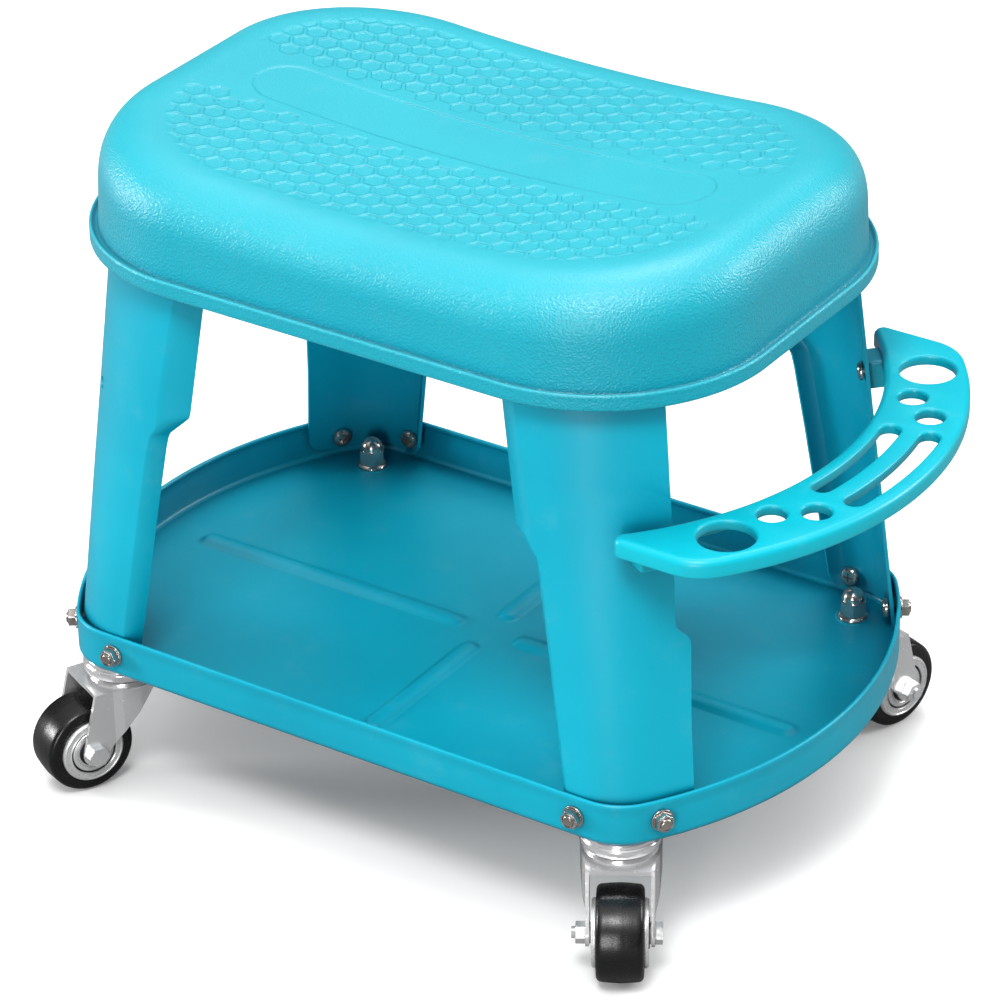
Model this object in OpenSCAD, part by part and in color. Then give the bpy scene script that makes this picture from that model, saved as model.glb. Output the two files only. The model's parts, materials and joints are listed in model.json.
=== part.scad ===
// Rolling creeper seat: moulded saddle seat on four formed sheet-metal legs,
// a pressed tool tray, four twin-plate swivel casters and a crescent tool holder.
// X runs along the seat, Y across it, Z up. The origin is the centre of the
// tray floor's top surface. Left is -X, right +X, front -Y and rear +Y.
// All sizes are in millimetres. Names end in _l length, _w width, _h height,
// _r radius, _t thickness, _a angle.

/* [Tray] */
// Overall tray length, bulged ends included
tray_l = 434; // [430:1:440]
// Tray width across the straight sides
tray_w = 278; // [277:1:280]
// How far each end bulges past its corners
tray_bulge = 51; // [49:1:53]
// Plan radius of the tray corners
tray_corner_r = 31; // [29:1:33]
// Height of the rim above the tray floor
wall_h = 23; // [22:1:26]
// Tray sheet thickness
tray_t = 1.2; // [1:0.1:1.4]
// Height of the pressed ribs
rib_h = 1.8; // [1:0.1:2.4]
// Width of the pressed ribs
rib_w = 11; // [8:1:14]

/* [Legs] */
// Leg sheet thickness
leg_t = 1.8; // [1.5:0.1:2]
// Outside bend radius of the leg corner
leg_bend_r = 38; // [34:1:40]
// Inward lean of the legs along X, per mm of height
lean_x = 0.112; // [0.105:0.001:0.118]
// Inward lean of the legs along Y, per mm of height
lean_y = 0.058; // [0.052:0.001:0.062]
// Height of the folded top tab above the tray floor
leg_top = 252; // [248:1:255]

/* [Seat] */
// Height of the seat's lower edge above the tray floor
seat_z = 231.3; // [229:0.1:235]
// Half length of the seat shell at its base
seat_half_l = 188; // [187:0.5:191]
// Half width of the seat shell at its base
seat_half_w = 131; // [130:0.5:134]
// Plan corner radius of the seat shell
seat_corner_r = 86; // [82:1:87]
// Height of the shell at its middle, above the lower edge
seat_h = 53.5; // [50:0.5:58]
// Radius of the saddle dip along the seat
saddle_r = 1250; // [1000:10:1600]
// Shoulder height
shoulder_h = 28; // [24:1:32]
// How far the bottom lip stands proud
lip = 5; // [3:0.5:6]
// Length of the shallow panel sunk in the top
panel_l = 272; // [240:2:290]
// Width of that panel
panel_w = 40; // [30:1:46]
// Shell wall thickness
shell_t = 2.4; // [2:0.1:2.6]

/* [Tool holder] */
// Inner radius of the crescent
holder_inner_r = 176; // [174:1:178]
// X position of the inner arc's centre
holder_inner_x = 33; // [32:0.5:34]
// Outer radius of the crescent
holder_outer_r = 192; // [190:0.5:194]
// X position of the outer arc's centre
holder_outer_x = 64; // [62:0.5:66]
// Half length across the crescent's ends
holder_half_l = 130; // [126:1:134]
// Underside of the holder above the tray floor
holder_z = 160.3; // [158:0.1:161]
// Depth of the holder
holder_h = 10; // [9.5:0.1:12]
// Depth of the collars round the holes
collar_h = 5.5; // [4:0.1:8]
// Radius of the two large holes
big_hole_r = 14.5; // [12:0.5:16]
// Radius of the four small holes
small_hole_r = 7.5; // [6:0.5:8.5]

/* [Casters] */
// Caster position along X
caster_x = 155.4; // [153:0.1:158]
// Caster position across Y
caster_y = 115.6; // [113:0.1:117]
// Wheel radius
wheel_r = 25; // [23:0.5:25]
// Half width of the tyre
tyre_half_w = 12; // [10:0.5:12]
// Distance from the swivel axis to the axle
trail = 26.5; // [24:0.5:28]
// Height of the tray's underside above the ground
deck_h = 72.5; // [72:0.1:74]

/* [Hidden] */

body_colour = [0.13, 0.70, 0.80];
seat_colour = [0.25, 0.80, 0.88];
steel_colour = [0.78, 0.78, 0.80];
black_colour = [0.06, 0.06, 0.06];

gap = 0.02;             // clearance between touching parts
under = -tray_t;        // tray underside
axle_z = under - deck_h + wheel_r;

// X and Y signs of the corners: front left, front right, rear left, rear right
corners = [[-1, -1], [1, -1], [-1, 1], [1, 1]];
caster_pos = [for (c = corners) [c[0] * caster_x, c[1] * caster_y]];
// heading of each caster's trail, from +X
caster_heading = [-116, -59, 118, 74];

// fastener sizes
small_screw_r = 2.5;    // seat and holder screws
pilot_r = 2.55;
wall_screw_r = 3;
wall_nut_flats = 9;
wall_nut_h = 5;
stem_hole_r = 4.3;
washer_h = 2.2;
pad_h = 0.25;           // coined pads under the stem washers

// ---------- placement ----------
// mirrors a feature drawn at the rear right corner onto corner i
module quad(i) mirror([corners[i][0] < 0 ? 1 : 0, 0, 0])
    mirror([0, corners[i][1] < 0 ? 1 : 0, 0]) children();
module all_corners() for (i = [0:3]) quad(i) children();
module right_corners() for (i = [1, 3]) quad(i) children();
module at_casters(z) for (p = caster_pos) translate([p[0], p[1], z]) children();

// ---------- plan outlines ----------
function arc(centre, r, from, to, steps) = [for (i = [0:steps])
    let (a = from + (to - from) * i / steps)
    [centre[0] + r * cos(a), centre[1] + r * sin(a)]];
// mirror images with the point order reversed
function flip_y(points) = [for (i = [len(points) - 1:-1:0]) [points[i][0], -points[i][1]]];
function flip_x(points) = [for (i = [len(points) - 1:-1:0]) [-points[i][0], points[i][1]]];
// closes a +Y half outline, which starts and ends on the X axis
function close_half(half) = concat(half, flip_y([for (i = [1:len(half) - 2]) half[i]]));

// tray plan: straight sides, bulged ends on one large radius, rounded corners
tray_half_w = tray_w / 2;
end_r = (tray_half_w * tray_half_w + tray_bulge * tray_bulge) / (2 * tray_bulge);
end_x = tray_l / 2 - end_r;
corner_y = tray_half_w - tray_corner_r;
corner_dx = sqrt(pow(end_r - tray_corner_r, 2) - pow(corner_y, 2));
corner_a = atan2(corner_y, corner_dx);
function tray_outline(inset) = let (
    quarter = concat(
        arc([end_x, 0], end_r - inset, 0, corner_a, 14),
        arc([end_x + corner_dx, corner_y], tray_corner_r - inset, corner_a + 6, 90, 9)))
    close_half(concat(quarter, flip_x(quarter)));

// rounded rectangle from its half sizes and corner radius
function rounded_rect(half_l, half_w, r, steps) = concat(
    arc([half_l - r, half_w - r], r, 0, 90, steps),
    arc([r - half_l, half_w - r], r, 90, 180, steps),
    arc([r - half_l, r - half_w], r, 180, 270, steps),
    arc([half_l - r, r - half_w], r, 270, 360, steps));

// crescent of the tool holder; each end has a large outer and a small inner rounding
function holder_outline(inset) = let (
    outer_r = holder_outer_r - inset,
    inner_r = holder_inner_r + inset,
    end_y = holder_half_l - inset,
    large_r = 26 - inset,
    small_r = 5 - inset / 2,
    large_x = sqrt(pow(outer_r - large_r, 2) - pow(end_y - large_r, 2)),
    outer_a = atan2(end_y - large_r, large_x),
    small_x = sqrt(pow(inner_r + small_r, 2) - pow(end_y - small_r, 2)),
    inner_a = atan2(end_y - small_r, small_x))
    close_half(concat(
        arc([holder_outer_x, 0], outer_r, 0, outer_a, 16),
        arc([holder_outer_x + large_x, end_y - large_r], large_r, outer_a + 8, 90, 8),
        arc([holder_inner_x + small_x, end_y - small_r], small_r, 90, 180 + inner_a, 6),
        arc([holder_inner_x, 0], inner_r, inner_a - 3, 0, 16)));

module slot2d(length, width) {
    square([length - width, width], center = true);
    for (side = [-1, 1]) translate([side * (length - width) / 2, 0]) circle(d = width, $fn = 32);
}

// ---------- sheet-metal paths: lists of [point, left normal] ----------
function unit(v) = v / norm(v);
function left(v) = [-v[1], v[0]];
function turned(v, a) = [v[0] * cos(a) - v[1] * sin(a), v[0] * sin(a) + v[1] * cos(a)];
function fillet(before, corner, after, r, steps) = let (
    dir_in = unit(corner - before),
    dir_out = unit(after - corner),
    side = dir_in[0] * dir_out[1] - dir_in[1] * dir_out[0] > 0 ? 1 : -1,
    bend = acos(dir_in * dir_out),
    start = corner - dir_in * (r * tan(bend / 2)),
    centre = start + left(dir_in) * side * r)
    [for (i = [0:steps]) let (a = side * bend * i / steps)
        [centre + turned(start - centre, a), left(turned(dir_in, a))]];
// outline of a sheet centred on the path
function sheet(path, thick) = concat(
    [for (p = path) p[0] + p[1] * thick / 2],
    [for (i = [len(path) - 1:-1:0]) path[i][0] - path[i][1] * thick / 2]);

// ---------- leg, drawn at the rear right corner ----------
// In the leg's frame the bend corner is at 0,0, the long-side flange runs
// towards -X and the end flange towards +X -Y.
leg_corner = [164.2, 135.7];    // bend corner over the tray at leg_ref_z
leg_ref_z = 21.3;
end_flange_a = 33;              // angle of the end flange from -Y
end_dir = [sin(end_flange_a), -cos(end_flange_a)];
lean_a = atan(sqrt(lean_x * lean_x + lean_y * lean_y));
foot_z = 4;
tab_centre = leg_corner - [lean_x, lean_y] * (leg_top - leg_ref_z);
tab_holes = [[-33, -11], [5, -27]];
// folded top tab, about tab_centre
tab_outline = [[-46, -2.5], [-26, -0.4], [-12, -2.6], [-3.4, -6.5], [5, -13],
    [13, -22], [20, -32], [8, -37], [-30, -24], [-46, -15]];
// what is cut away: [distance along the flange, height in the leg's frame]
long_side_trim = concat([[-70, -50], [-25, -50]], arc([-25, -6.5], 8, 270, 180, 6),
    [[-38, 121], [-39.5, 125], [-50, 139], [-53, 240], [-70, 240]]);
end_side_trim = concat([[70, -50], [34.1, -50]], arc([34.1, -9.9], 8, 270, 360, 6),
    [[42.8, 0], [46.5, 80], [39.4, 88], [41.5, 210], [42, 245], [70, 245]]);
holder_screw_along = 26;        // holder screw's place along the end flange
holder_screw_z = 134;           // and up the leg
side_screw_x = 142.7;
side_screw_z = 11.6;
end_screw_a = 33.6;             // about the centre of the tray's end arc
end_screw_z = 12;

// leg section with an inturned edge on the long side
function leg_path(edge, edge_bend, edge_r) = let (flange_end = end_dir * 50) concat(
    [[edge, left(unit(edge_bend - edge))]],
    fillet(edge, edge_bend, [0, 0], edge_r, 4),
    fillet(edge_bend, [0, 0], flange_end, leg_bend_r, 12),
    [[flange_end, left(end_dir)]]);

module leg_frame() translate([leg_corner[0], leg_corner[1], leg_ref_z])
    rotate(a = lean_a, v = [lean_y, -lean_x, 0]) children();
// screw axes; +Z of the child points outwards, away from the leg or tray wall
module at_holder_screw() leg_frame()
    translate([end_dir[0] * holder_screw_along, end_dir[1] * holder_screw_along, holder_screw_z])
    rotate([0, 90, end_flange_a]) children();
// out is measured from the tray's outer face
module at_side_screw(out) translate([side_screw_x, tray_half_w + out, side_screw_z])
    rotate([-90, 0, 0]) children();
module at_end_screw(out) translate([end_x, 0, end_screw_z]) rotate([0, 90, end_screw_a])
    translate([0, 0, end_r + out]) children();
module at_tab_holes(z) for (h = tab_holes)
    translate([tab_centre[0] + h[0], tab_centre[1] + h[1], z]) children();

module wall_screw_holes(radius, inside, length) {
    at_side_screw(-inside) cylinder(r = radius, h = length, $fn = 32);
    at_end_screw(-inside) cylinder(r = radius, h = length, $fn = 32);
}
module leg_blank() intersection() {
    leg_frame() union() {
        translate([0, 0, -40]) linear_extrude(172)
            polygon(sheet(leg_path([-33.4, -7.2], [-28.6, 0], 4), leg_t));
        translate([0, 0, 131]) linear_extrude(130)
            polygon(sheet(leg_path([-54, -9.6], [-30, 0], 10), leg_t));
    }
    translate([60, 50, foot_z]) cube([160, 120, leg_top - foot_z]);
}
module trim_prism(profile) translate([0, 40, 0]) rotate([90, 0, 0])
    linear_extrude(80) polygon(profile);
module leg_trims() leg_frame() {
    trim_prism(long_side_trim);
    rotate([0, 0, end_flange_a - 90]) trim_prism(end_side_trim);
}
module leg() color(body_colour) difference() {
    union() {
        difference() {
            leg_blank();
            leg_trims();
        }
        translate([tab_centre[0], tab_centre[1], leg_top - leg_t]) linear_extrude(leg_t)
            polygon(tab_outline);
    }
    at_tab_holes(leg_top - 20) cylinder(r = 3.3, h = 40, $fn = 32);
    wall_screw_holes(3.4, 20, 30);
    at_holder_screw() translate([0, 0, -10]) cylinder(r = 2.75, h = 20, $fn = 32);
}

// ---------- seat ----------
crown_h = seat_h + 13;      // height of the body before the saddle is cut
draft = 0.05;               // inward lean of the sides per mm of height
shoulder_power = 2.3;       // exponent of the shoulder's superellipse
section_t = 0.02;           // thin sections the body is hulled from
// heights of the upper sections, as shares of the shoulder height
shoulder_steps = [0, 0.3, 0.5, 0.66, 0.79, 0.89, 0.96, 0.995];
panel_depth = 0.9;
lip_h = 7.5;
seat_rib_t = 2.4;
seat_rib_z = seat_z + 36;

function seat_inset(z, top, shoulder) = z < top - shoulder ? draft * z
    : draft * z + shoulder * (1 - pow(
        max(0, 1 - pow((z - top + shoulder) / shoulder, shoulder_power)), 1 / shoulder_power));

// outer body drawn in by wall
module seat_body(wall) {
    top = crown_h - wall;
    heights = concat([0], [for (s = shoulder_steps) top - shoulder_h + shoulder_h * s]);
    hull() for (z = heights) {
        inset = seat_inset(z, top, shoulder_h - wall) + wall;
        translate([0, 0, seat_z + z - section_t]) linear_extrude(section_t)
            polygon(rounded_rect(seat_half_l - inset, seat_half_w - inset,
                max(20, seat_corner_r - wall - (inset - wall) * 0.6), 9));
    }
}
// cutter for the saddle dip, sunk by depth
module saddle(depth) translate([0, 250, seat_z + seat_h + saddle_r]) rotate([90, 0, 0])
    cylinder(r = saddle_r + depth, h = 500, $fn = 180);
module seat_cavity() difference() {
    seat_body(shell_t);
    saddle(shell_t);
    // screw bosses and stiffening ribs stay solid
    all_corners() at_tab_holes(leg_top) cylinder(r = 7, h = 60, $fn = 48);
    for (x = [-60, 0, 60]) translate([x - seat_rib_t / 2, -150, seat_rib_z])
        cube([seat_rib_t, 300, 60]);
    for (y = [-45, 45]) translate([-200, y - seat_rib_t / 2, seat_rib_z])
        cube([400, seat_rib_t, 60]);
}
module seat_shell() color(seat_colour) difference() {
    union() {
        difference() {
            seat_body(0);
            saddle(0);
        }
        translate([0, 0, seat_z]) linear_extrude(lip_h)
            polygon(rounded_rect(seat_half_l + lip, seat_half_w + lip, seat_corner_r + lip, 12));
    }
    // sunk panel, one even depth below the saddle
    intersection() {
        translate([0, 0, seat_z + 30]) linear_extrude(80) slot2d(panel_l, panel_w);
        saddle(panel_depth);
    }
    seat_cavity();
    // clears the mouth of the cavity
    translate([0, 0, seat_z - 1]) linear_extrude(1.5) polygon(rounded_rect(
        seat_half_l - shell_t, seat_half_w - shell_t, seat_corner_r - shell_t, 9));
    all_corners() at_tab_holes(leg_top - 1) cylinder(r = pilot_r, h = 15, $fn = 32);
}

// ---------- tray ----------
rib_x = [22, 182];          // start and end of the ribs along X
rib_y = [20, 106];          // and of those along Y
rim_h = 2.6;
rim_t = 2.4;

module ribs(z, height, width) {
    widened = width - rib_w;
    translate([0, 0, z]) linear_extrude(height) for (side = [-1, 1]) {
        translate([side * (rib_x[0] + rib_x[1]) / 2, 0])
            slot2d(rib_x[1] - rib_x[0] + widened, width);
        translate([0, side * (rib_y[0] + rib_y[1]) / 2]) rotate(90)
            slot2d(rib_y[1] - rib_y[0] + widened, width);
    }
}
module tray() color(body_colour) difference() {
    union() {
        difference() {
            translate([0, 0, under]) linear_extrude(wall_h - under) polygon(tray_outline(0));
            linear_extrude(wall_h + 1) polygon(tray_outline(tray_t));
        }
        // rolled rim
        difference() {
            translate([0, 0, wall_h - rim_h]) linear_extrude(rim_h) polygon(tray_outline(0));
            translate([0, 0, wall_h - 3]) linear_extrude(4) polygon(tray_outline(rim_t));
        }
        ribs(0, rib_h, rib_w);
        // coined pads
        at_casters(-0.5) cylinder(r = 9.2, h = 0.5 + pad_h, $fn = 64);
    }
    // hollow undersides of the ribs
    ribs(under - 1, rib_h + 1, rib_w - 2 * tray_t);
    at_casters(-10) cylinder(r = stem_hole_r, h = 20, $fn = 48);
    all_corners() wall_screw_holes(3.3, 10, 20);
}

// ---------- tool holder ----------
holder_t = 2.6;             // top and wall thickness
collar_t = 2.2;
layout_x = 28;              // centre the holes and slots are set out from
// polar places about that centre: [radius, angle]
big_hole = [202, 29.2];
small_holes = [[196.5, 20.6], [208.8, 15.5]];
slot_radii = [194, 214.5];
slot_a = 9.9;               // half angle the slots span
slot_w = 11;

module at_polar(r, a) translate([layout_x + r * cos(a), r * sin(a)]) children();
module at_big_hole(side) at_polar(big_hole[0], side * big_hole[1]) children();
module at_small_holes(side) for (p = small_holes) at_polar(p[0], side * p[1]) children();
module slot_arc(r, width) {
    intersection() {
        translate([layout_x, 0]) difference() {
            circle(r = r + width / 2, $fn = 180);
            circle(r = r - width / 2, $fn = 180);
        }
        polygon([[layout_x, 0],
            [layout_x + 300 * cos(slot_a), 300 * sin(slot_a)],
            [layout_x + 300 * cos(slot_a), -300 * sin(slot_a)]]);
    }
    for (side = [-1, 1]) at_polar(r, side * slot_a) circle(d = width, $fn = 32);
}
module collars() translate([0, 0, holder_z + holder_h - collar_h]) {
    for (side = [-1, 1]) linear_extrude(holder_h + 4) {
        at_big_hole(side) circle(r = big_hole_r + collar_t, $fn = 64);
        at_small_holes(side) circle(r = small_hole_r + collar_t, $fn = 48);
    }
    for (r = slot_radii) linear_extrude(holder_h + 4) slot_arc(r, slot_w + 2 * collar_t);
}
module tool_holder() color(body_colour) difference() {
    union() {
        difference() {
            translate([0, 0, holder_z]) linear_extrude(holder_h) polygon(holder_outline(0));
            // open underside, with a collar left round every hole
            difference() {
                translate([0, 0, holder_z - 1]) linear_extrude(holder_h + 1 - holder_t)
                    polygon(holder_outline(holder_t));
                collars();
            }
        }
        // mounting ears against the legs
        right_corners() at_holder_screw() translate([-9, -9, leg_t / 2 + 0.15])
            cube([16, 18, 13.5]);
    }
    for (side = [-1, 1]) translate([0, 0, holder_z - 1]) {
        at_big_hole(side) cylinder(r = big_hole_r, h = holder_h + 2, $fn = 64);
        at_small_holes(side) cylinder(r = small_hole_r, h = holder_h + 2, $fn = 48);
    }
    translate([0, 0, holder_z - 1]) linear_extrude(holder_h + 2)
        for (r = slot_radii) slot_arc(r, slot_w);
    right_corners() at_holder_screw() cylinder(r = pilot_r, h = 12, $fn = 32);
}

// ---------- fasteners ----------
function hex_r(flats) = flats / 2 / cos(30);
// cross-slotted pan-head screw, head below z = 0, shank towards +Z
module pan_screw(shank_r, head_r, head_h, length) difference() {
    rotate_extrude($fn = 48) polygon([[0, -head_h], [head_r * 0.55, -head_h],
        [head_r * 0.82, -head_h * 0.86], [head_r * 0.96, -head_h * 0.55],
        [head_r, -head_h * 0.2], [head_r, 0], [shank_r, 0],
        [shank_r, length - 0.6], [shank_r - 0.6, length], [0, length]]);
    for (a = [0, 90]) rotate(a) translate([-head_r * 0.5, -head_r * 0.09, -head_h - 1])
        cube([head_r, head_r * 0.18, 1 + head_h * 0.55]);
}
// hexagon nut on a round flange
module flange_nut(flats, height, bore_r) difference() {
    union() {
        translate([0, 0, 1.1]) cylinder(r = hex_r(flats), h = height - 1.1, $fn = 6);
        cylinder(r = flats / 2 + 1.4, h = 1.3, $fn = 48);
    }
    translate([0, 0, -1]) cylinder(r = bore_r, h = height + 2, $fn = 32);
}
module wall_nut() flange_nut(wall_nut_flats, wall_nut_h, wall_screw_r + 0.03);

module holder_screws() color(steel_colour) right_corners() at_holder_screw()
    translate([0, 0, -leg_t / 2 - 0.05]) pan_screw(small_screw_r, 5, 2.6, 11);
module seat_screws() color(steel_colour) all_corners() at_tab_holes(leg_top - leg_t - gap)
    pan_screw(small_screw_r, 5.6, 2.8, 14);
module tray_screws() color(steel_colour) all_corners() {
    at_side_screw(-4.6) pan_screw(wall_screw_r, 5.4, 2.8, 11);
    at_end_screw(-6.2) pan_screw(wall_screw_r, 5.4, 2.8, 12.5);
}
module tray_nuts() color(steel_colour) all_corners() {
    at_side_screw(gap) wall_nut();
    at_end_screw(0.06) wall_nut();
}
cap_hex_h = 8.2;
module stem_cap_nuts() color(steel_colour) at_casters(pad_h + gap + washer_h) difference() {
    union() {
        cylinder(r = hex_r(13), h = cap_hex_h, $fn = 6);
        translate([0, 0, cap_hex_h]) intersection() {
            translate([0, 0, 0.6]) sphere(r = 6.3, $fn = 48);
            cylinder(r = 6.2, h = 8, $fn = 48);
        }
    }
    translate([0, 0, -1]) cylinder(r = 4.03, h = 11.5, $fn = 48);
}
module stem_washers() color(steel_colour) at_casters(pad_h + gap) difference() {
    rotate_extrude($fn = 64)
        polygon([[0, 0], [8.2, 0], [8.2, 0.8], [7, washer_h], [0, washer_h]]);
    translate([0, 0, -1]) cylinder(r = stem_hole_r, h = 5, $fn = 48);
}

// ---------- caster ----------
// Each caster is drawn with its swivel axis on Z and its trail towards +X.
plate_top = under - 12.2;           // top face of the fork's crown
plate_t = 2.2;
plate_under = plate_top - plate_t;
race_t = 2.2;
ball_r = 2;
ball_ring_r = 13.5;
ball_count = 14;
fork_half_w = 17.3;                 // outside of the cheeks
fork_t = 2;
fork_inner = fork_half_w - fork_t;
shank_r = 5;
thread_r = 4;
axle_r = 3;
axle_bore_r = 3.05;
axle_hex_r = hex_r(10);
axle_nut_h = 5;
sleeve_r = 5.5;
hub_r = 8;
hub_half_w = 14.6;
bead_r = 16.5;                      // inner radius of the tyre

module caster(i) translate([caster_pos[i][0], caster_pos[i][1], 0])
    rotate(caster_heading[i]) children();
// axle frame: +Z of the child points to +Y
module on_axle(along = 0) translate([trail, 0, axle_z]) rotate([-90, 0, 0])
    translate([0, 0, along]) children();

module stem() color(steel_colour) rotate_extrude($fn = 64) polygon([
    [0, plate_under - 2.6], [6.5, plate_under - 2.6], [8.6, plate_under - 1.4],
    [8.6, plate_under - 0.1], [shank_r, plate_under - 0.1], [shank_r, under - 2.3],
    [thread_r, under - 2.3], [thread_r, 11.4], [3.3, 12.1], [0, 12.1]]);
module top_race() color(steel_colour) rotate_extrude($fn = 96) polygon([
    [4.05, under - gap], [18.2, under - gap], [19.6, under - 1.2], [20, under - 3.2],
    [21, under - 4.2], [21, under - 8], [19.3, under - 8], [19.3, under - 5],
    [17.6, under - race_t], [4.05, under - race_t]]);
module swivel_balls() color(steel_colour) for (k = [0:ball_count - 1])
    rotate(k * 360 / ball_count) translate([ball_ring_r, 0, under - race_t - gap - ball_r])
    sphere(r = ball_r, $fn = 24);

module fork_crown() translate([0, 0, plate_under]) linear_extrude(plate_t) {
    circle(r = 20.5, $fn = 96);
    polygon([[0, -20.5], [10, -19.2], [15, -fork_half_w], [25, -fork_half_w],
        [25, fork_half_w], [15, fork_half_w], [10, 19.2], [0, 20.5]]);
}
module ball_seat() translate([0, 0, plate_top - 0.1]) rotate_extrude($fn = 96)
    polygon([[0, 0], [19.2, 0], [18.4, 1.9], [16.6, 2.3], [16.2, 6.05], [0, 6.05]]);
// bent cheek plan cut to the side profile
module fork_cheeks() intersection() {
    translate([0, 0, plate_top - 60]) linear_extrude(60) for (side = [0, 1])
        mirror([0, side, 0]) polygon([[-14, 20.4], [0, 20.5], [10, 19.2], [15, fork_half_w],
            [60, fork_half_w], [60, fork_inner], [14.6, fork_inner], [9.6, 17.1],
            [0, 18.4], [-14, 18.3]]);
    translate([0, 30, 0]) rotate([90, 0, 0]) linear_extrude(60) {
        polygon([[-9, plate_top], [25, plate_top], [trail + 6.9, axle_z + 1],
            [trail, axle_z - 2], [trail - 6.2, axle_z - 2.5], [2, axle_z + 19]]);
        translate([trail, axle_z]) circle(r = 7, $fn = 48);
    }
}
module fork() color(steel_colour) difference() {
    union() {
        fork_crown();
        ball_seat();
        fork_cheeks();
    }
    translate([0, 0, plate_top - 10]) cylinder(r = shank_r + 0.06, h = 30, $fn = 64);
    translate([trail, 40, axle_z]) rotate([90, 0, 0])
        cylinder(r = axle_bore_r, h = 80, $fn = 48);
}

module axle_bolt() color(steel_colour) union() {
    on_axle(fork_half_w + gap) cylinder(r = axle_hex_r, h = 3.8, $fn = 6);
    on_axle(-fork_half_w - 7) cylinder(r = axle_r, h = 2 * fork_half_w + 9, $fn = 48);
}
module axle_nut() color(steel_colour) on_axle(-fork_half_w - axle_nut_h - gap) difference() {
    cylinder(r = axle_hex_r, h = axle_nut_h, $fn = 6);
    translate([0, 0, -1]) cylinder(r = axle_r + 0.02, h = 8, $fn = 48);
}
module axle_sleeve() color(steel_colour) on_axle(gap - fork_inner) difference() {
    cylinder(r = sleeve_r, h = 2 * (fork_inner - gap), $fn = 64);
    translate([0, 0, -1]) cylinder(r = axle_bore_r, h = 40, $fn = 48);
}

module wheel_hub() {
    bore = sleeve_r + 0.06;
    rim = bead_r - 0.03;
    face = tyre_half_w - gap;
    color(black_colour) on_axle() rotate_extrude($fn = 96) polygon([
        [bore, -hub_half_w], [hub_r, -hub_half_w], [hub_r, -face], [rim, -face],
        [rim, face], [hub_r, face], [hub_r, hub_half_w], [bore, hub_half_w]]);
}
// rim plate section: [radius, distance outside the tyre's side]
rim_profile = [[8.05, gap], [17.5, gap], [17.5, 1.2], [17, 1.9], [13.6, 1.9], [13.1, 1.1],
    [11.9, 1.1], [11.4, 1.9], [9.6, 1.9], [9.2, 1.4], [8.05, 1.4]];
module rim_plates() color(steel_colour) on_axle() for (side = [0, 1]) mirror([0, 0, side])
    rotate_extrude($fn = 96) polygon([for (p = rim_profile) p + [0, tyre_half_w]]);
module tyre() color(black_colour) on_axle() rotate_extrude($fn = 96) polygon(concat(
    [[bead_r, -tyre_half_w], [wheel_r - 4, -tyre_half_w]],
    arc([wheel_r - 3.6, 3 - tyre_half_w], 3, -75, -15, 4),
    [[wheel_r - 0.25, -5], [wheel_r, 0], [wheel_r - 0.25, 5]],
    arc([wheel_r - 3.6, tyre_half_w - 3], 3, 15, 75, 4),
    [[wheel_r - 4, tyre_half_w], [bead_r, tyre_half_w]]));

seat_shell();
tray();
quad(0) leg();  // leg_front_left
quad(1) leg();  // leg_front_right
quad(2) leg();  // leg_rear_left
quad(3) leg();  // leg_rear_right
tool_holder();
holder_screws();
seat_screws();
tray_screws();
tray_nuts();
stem_cap_nuts();
stem_washers();

caster(0) stem();  // stem_fl
caster(0) top_race();  // top_race_fl
caster(0) swivel_balls();  // swivel_balls_fl
caster(0) fork();  // fork_fl
caster(0) axle_bolt();  // axle_bolt_fl
caster(0) axle_nut();  // axle_nut_fl
caster(0) axle_sleeve();  // axle_sleeve_fl
caster(0) wheel_hub();  // wheel_hub_fl
caster(0) rim_plates();  // rim_plates_fl
caster(0) tyre();  // tyre_fl

caster(1) stem();  // stem_fr
caster(1) top_race();  // top_race_fr
caster(1) swivel_balls();  // swivel_balls_fr
caster(1) fork();  // fork_fr
caster(1) axle_bolt();  // axle_bolt_fr
caster(1) axle_nut();  // axle_nut_fr
caster(1) axle_sleeve();  // axle_sleeve_fr
caster(1) wheel_hub();  // wheel_hub_fr
caster(1) rim_plates();  // rim_plates_fr
caster(1) tyre();  // tyre_fr

caster(2) stem();  // stem_rl
caster(2) top_race();  // top_race_rl
caster(2) swivel_balls();  // swivel_balls_rl
caster(2) fork();  // fork_rl
caster(2) axle_bolt();  // axle_bolt_rl
caster(2) axle_nut();  // axle_nut_rl
caster(2) axle_sleeve();  // axle_sleeve_rl
caster(2) wheel_hub();  // wheel_hub_rl
caster(2) rim_plates();  // rim_plates_rl
caster(2) tyre();  // tyre_rl

caster(3) stem();  // stem_rr
caster(3) top_race();  // top_race_rr
caster(3) swivel_balls();  // swivel_balls_rr
caster(3) fork();  // fork_rr
caster(3) axle_bolt();  // axle_bolt_rr
caster(3) axle_nut();  // axle_nut_rr
caster(3) axle_sleeve();  // axle_sleeve_rr
caster(3) wheel_hub();  // wheel_hub_rr
caster(3) rim_plates();  // rim_plates_rr
caster(3) tyre();  // tyre_rr
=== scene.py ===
# Rolling work seat: a moulded seat on four folded sheet legs, above a tray on four castors,
# with a crescent tool holder at the right end. X runs from left to right, Y from front to rear
# and Z up, with z = 0 on the upper face of the tray floor. Shapes are worked out in
# millimetres and turned into metres when the mesh is made.
import json
import math
import bmesh
import bpy
import numpy as np
from mathutils import Matrix, Vector
from mathutils.geometry import tessellate_polygon


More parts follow.
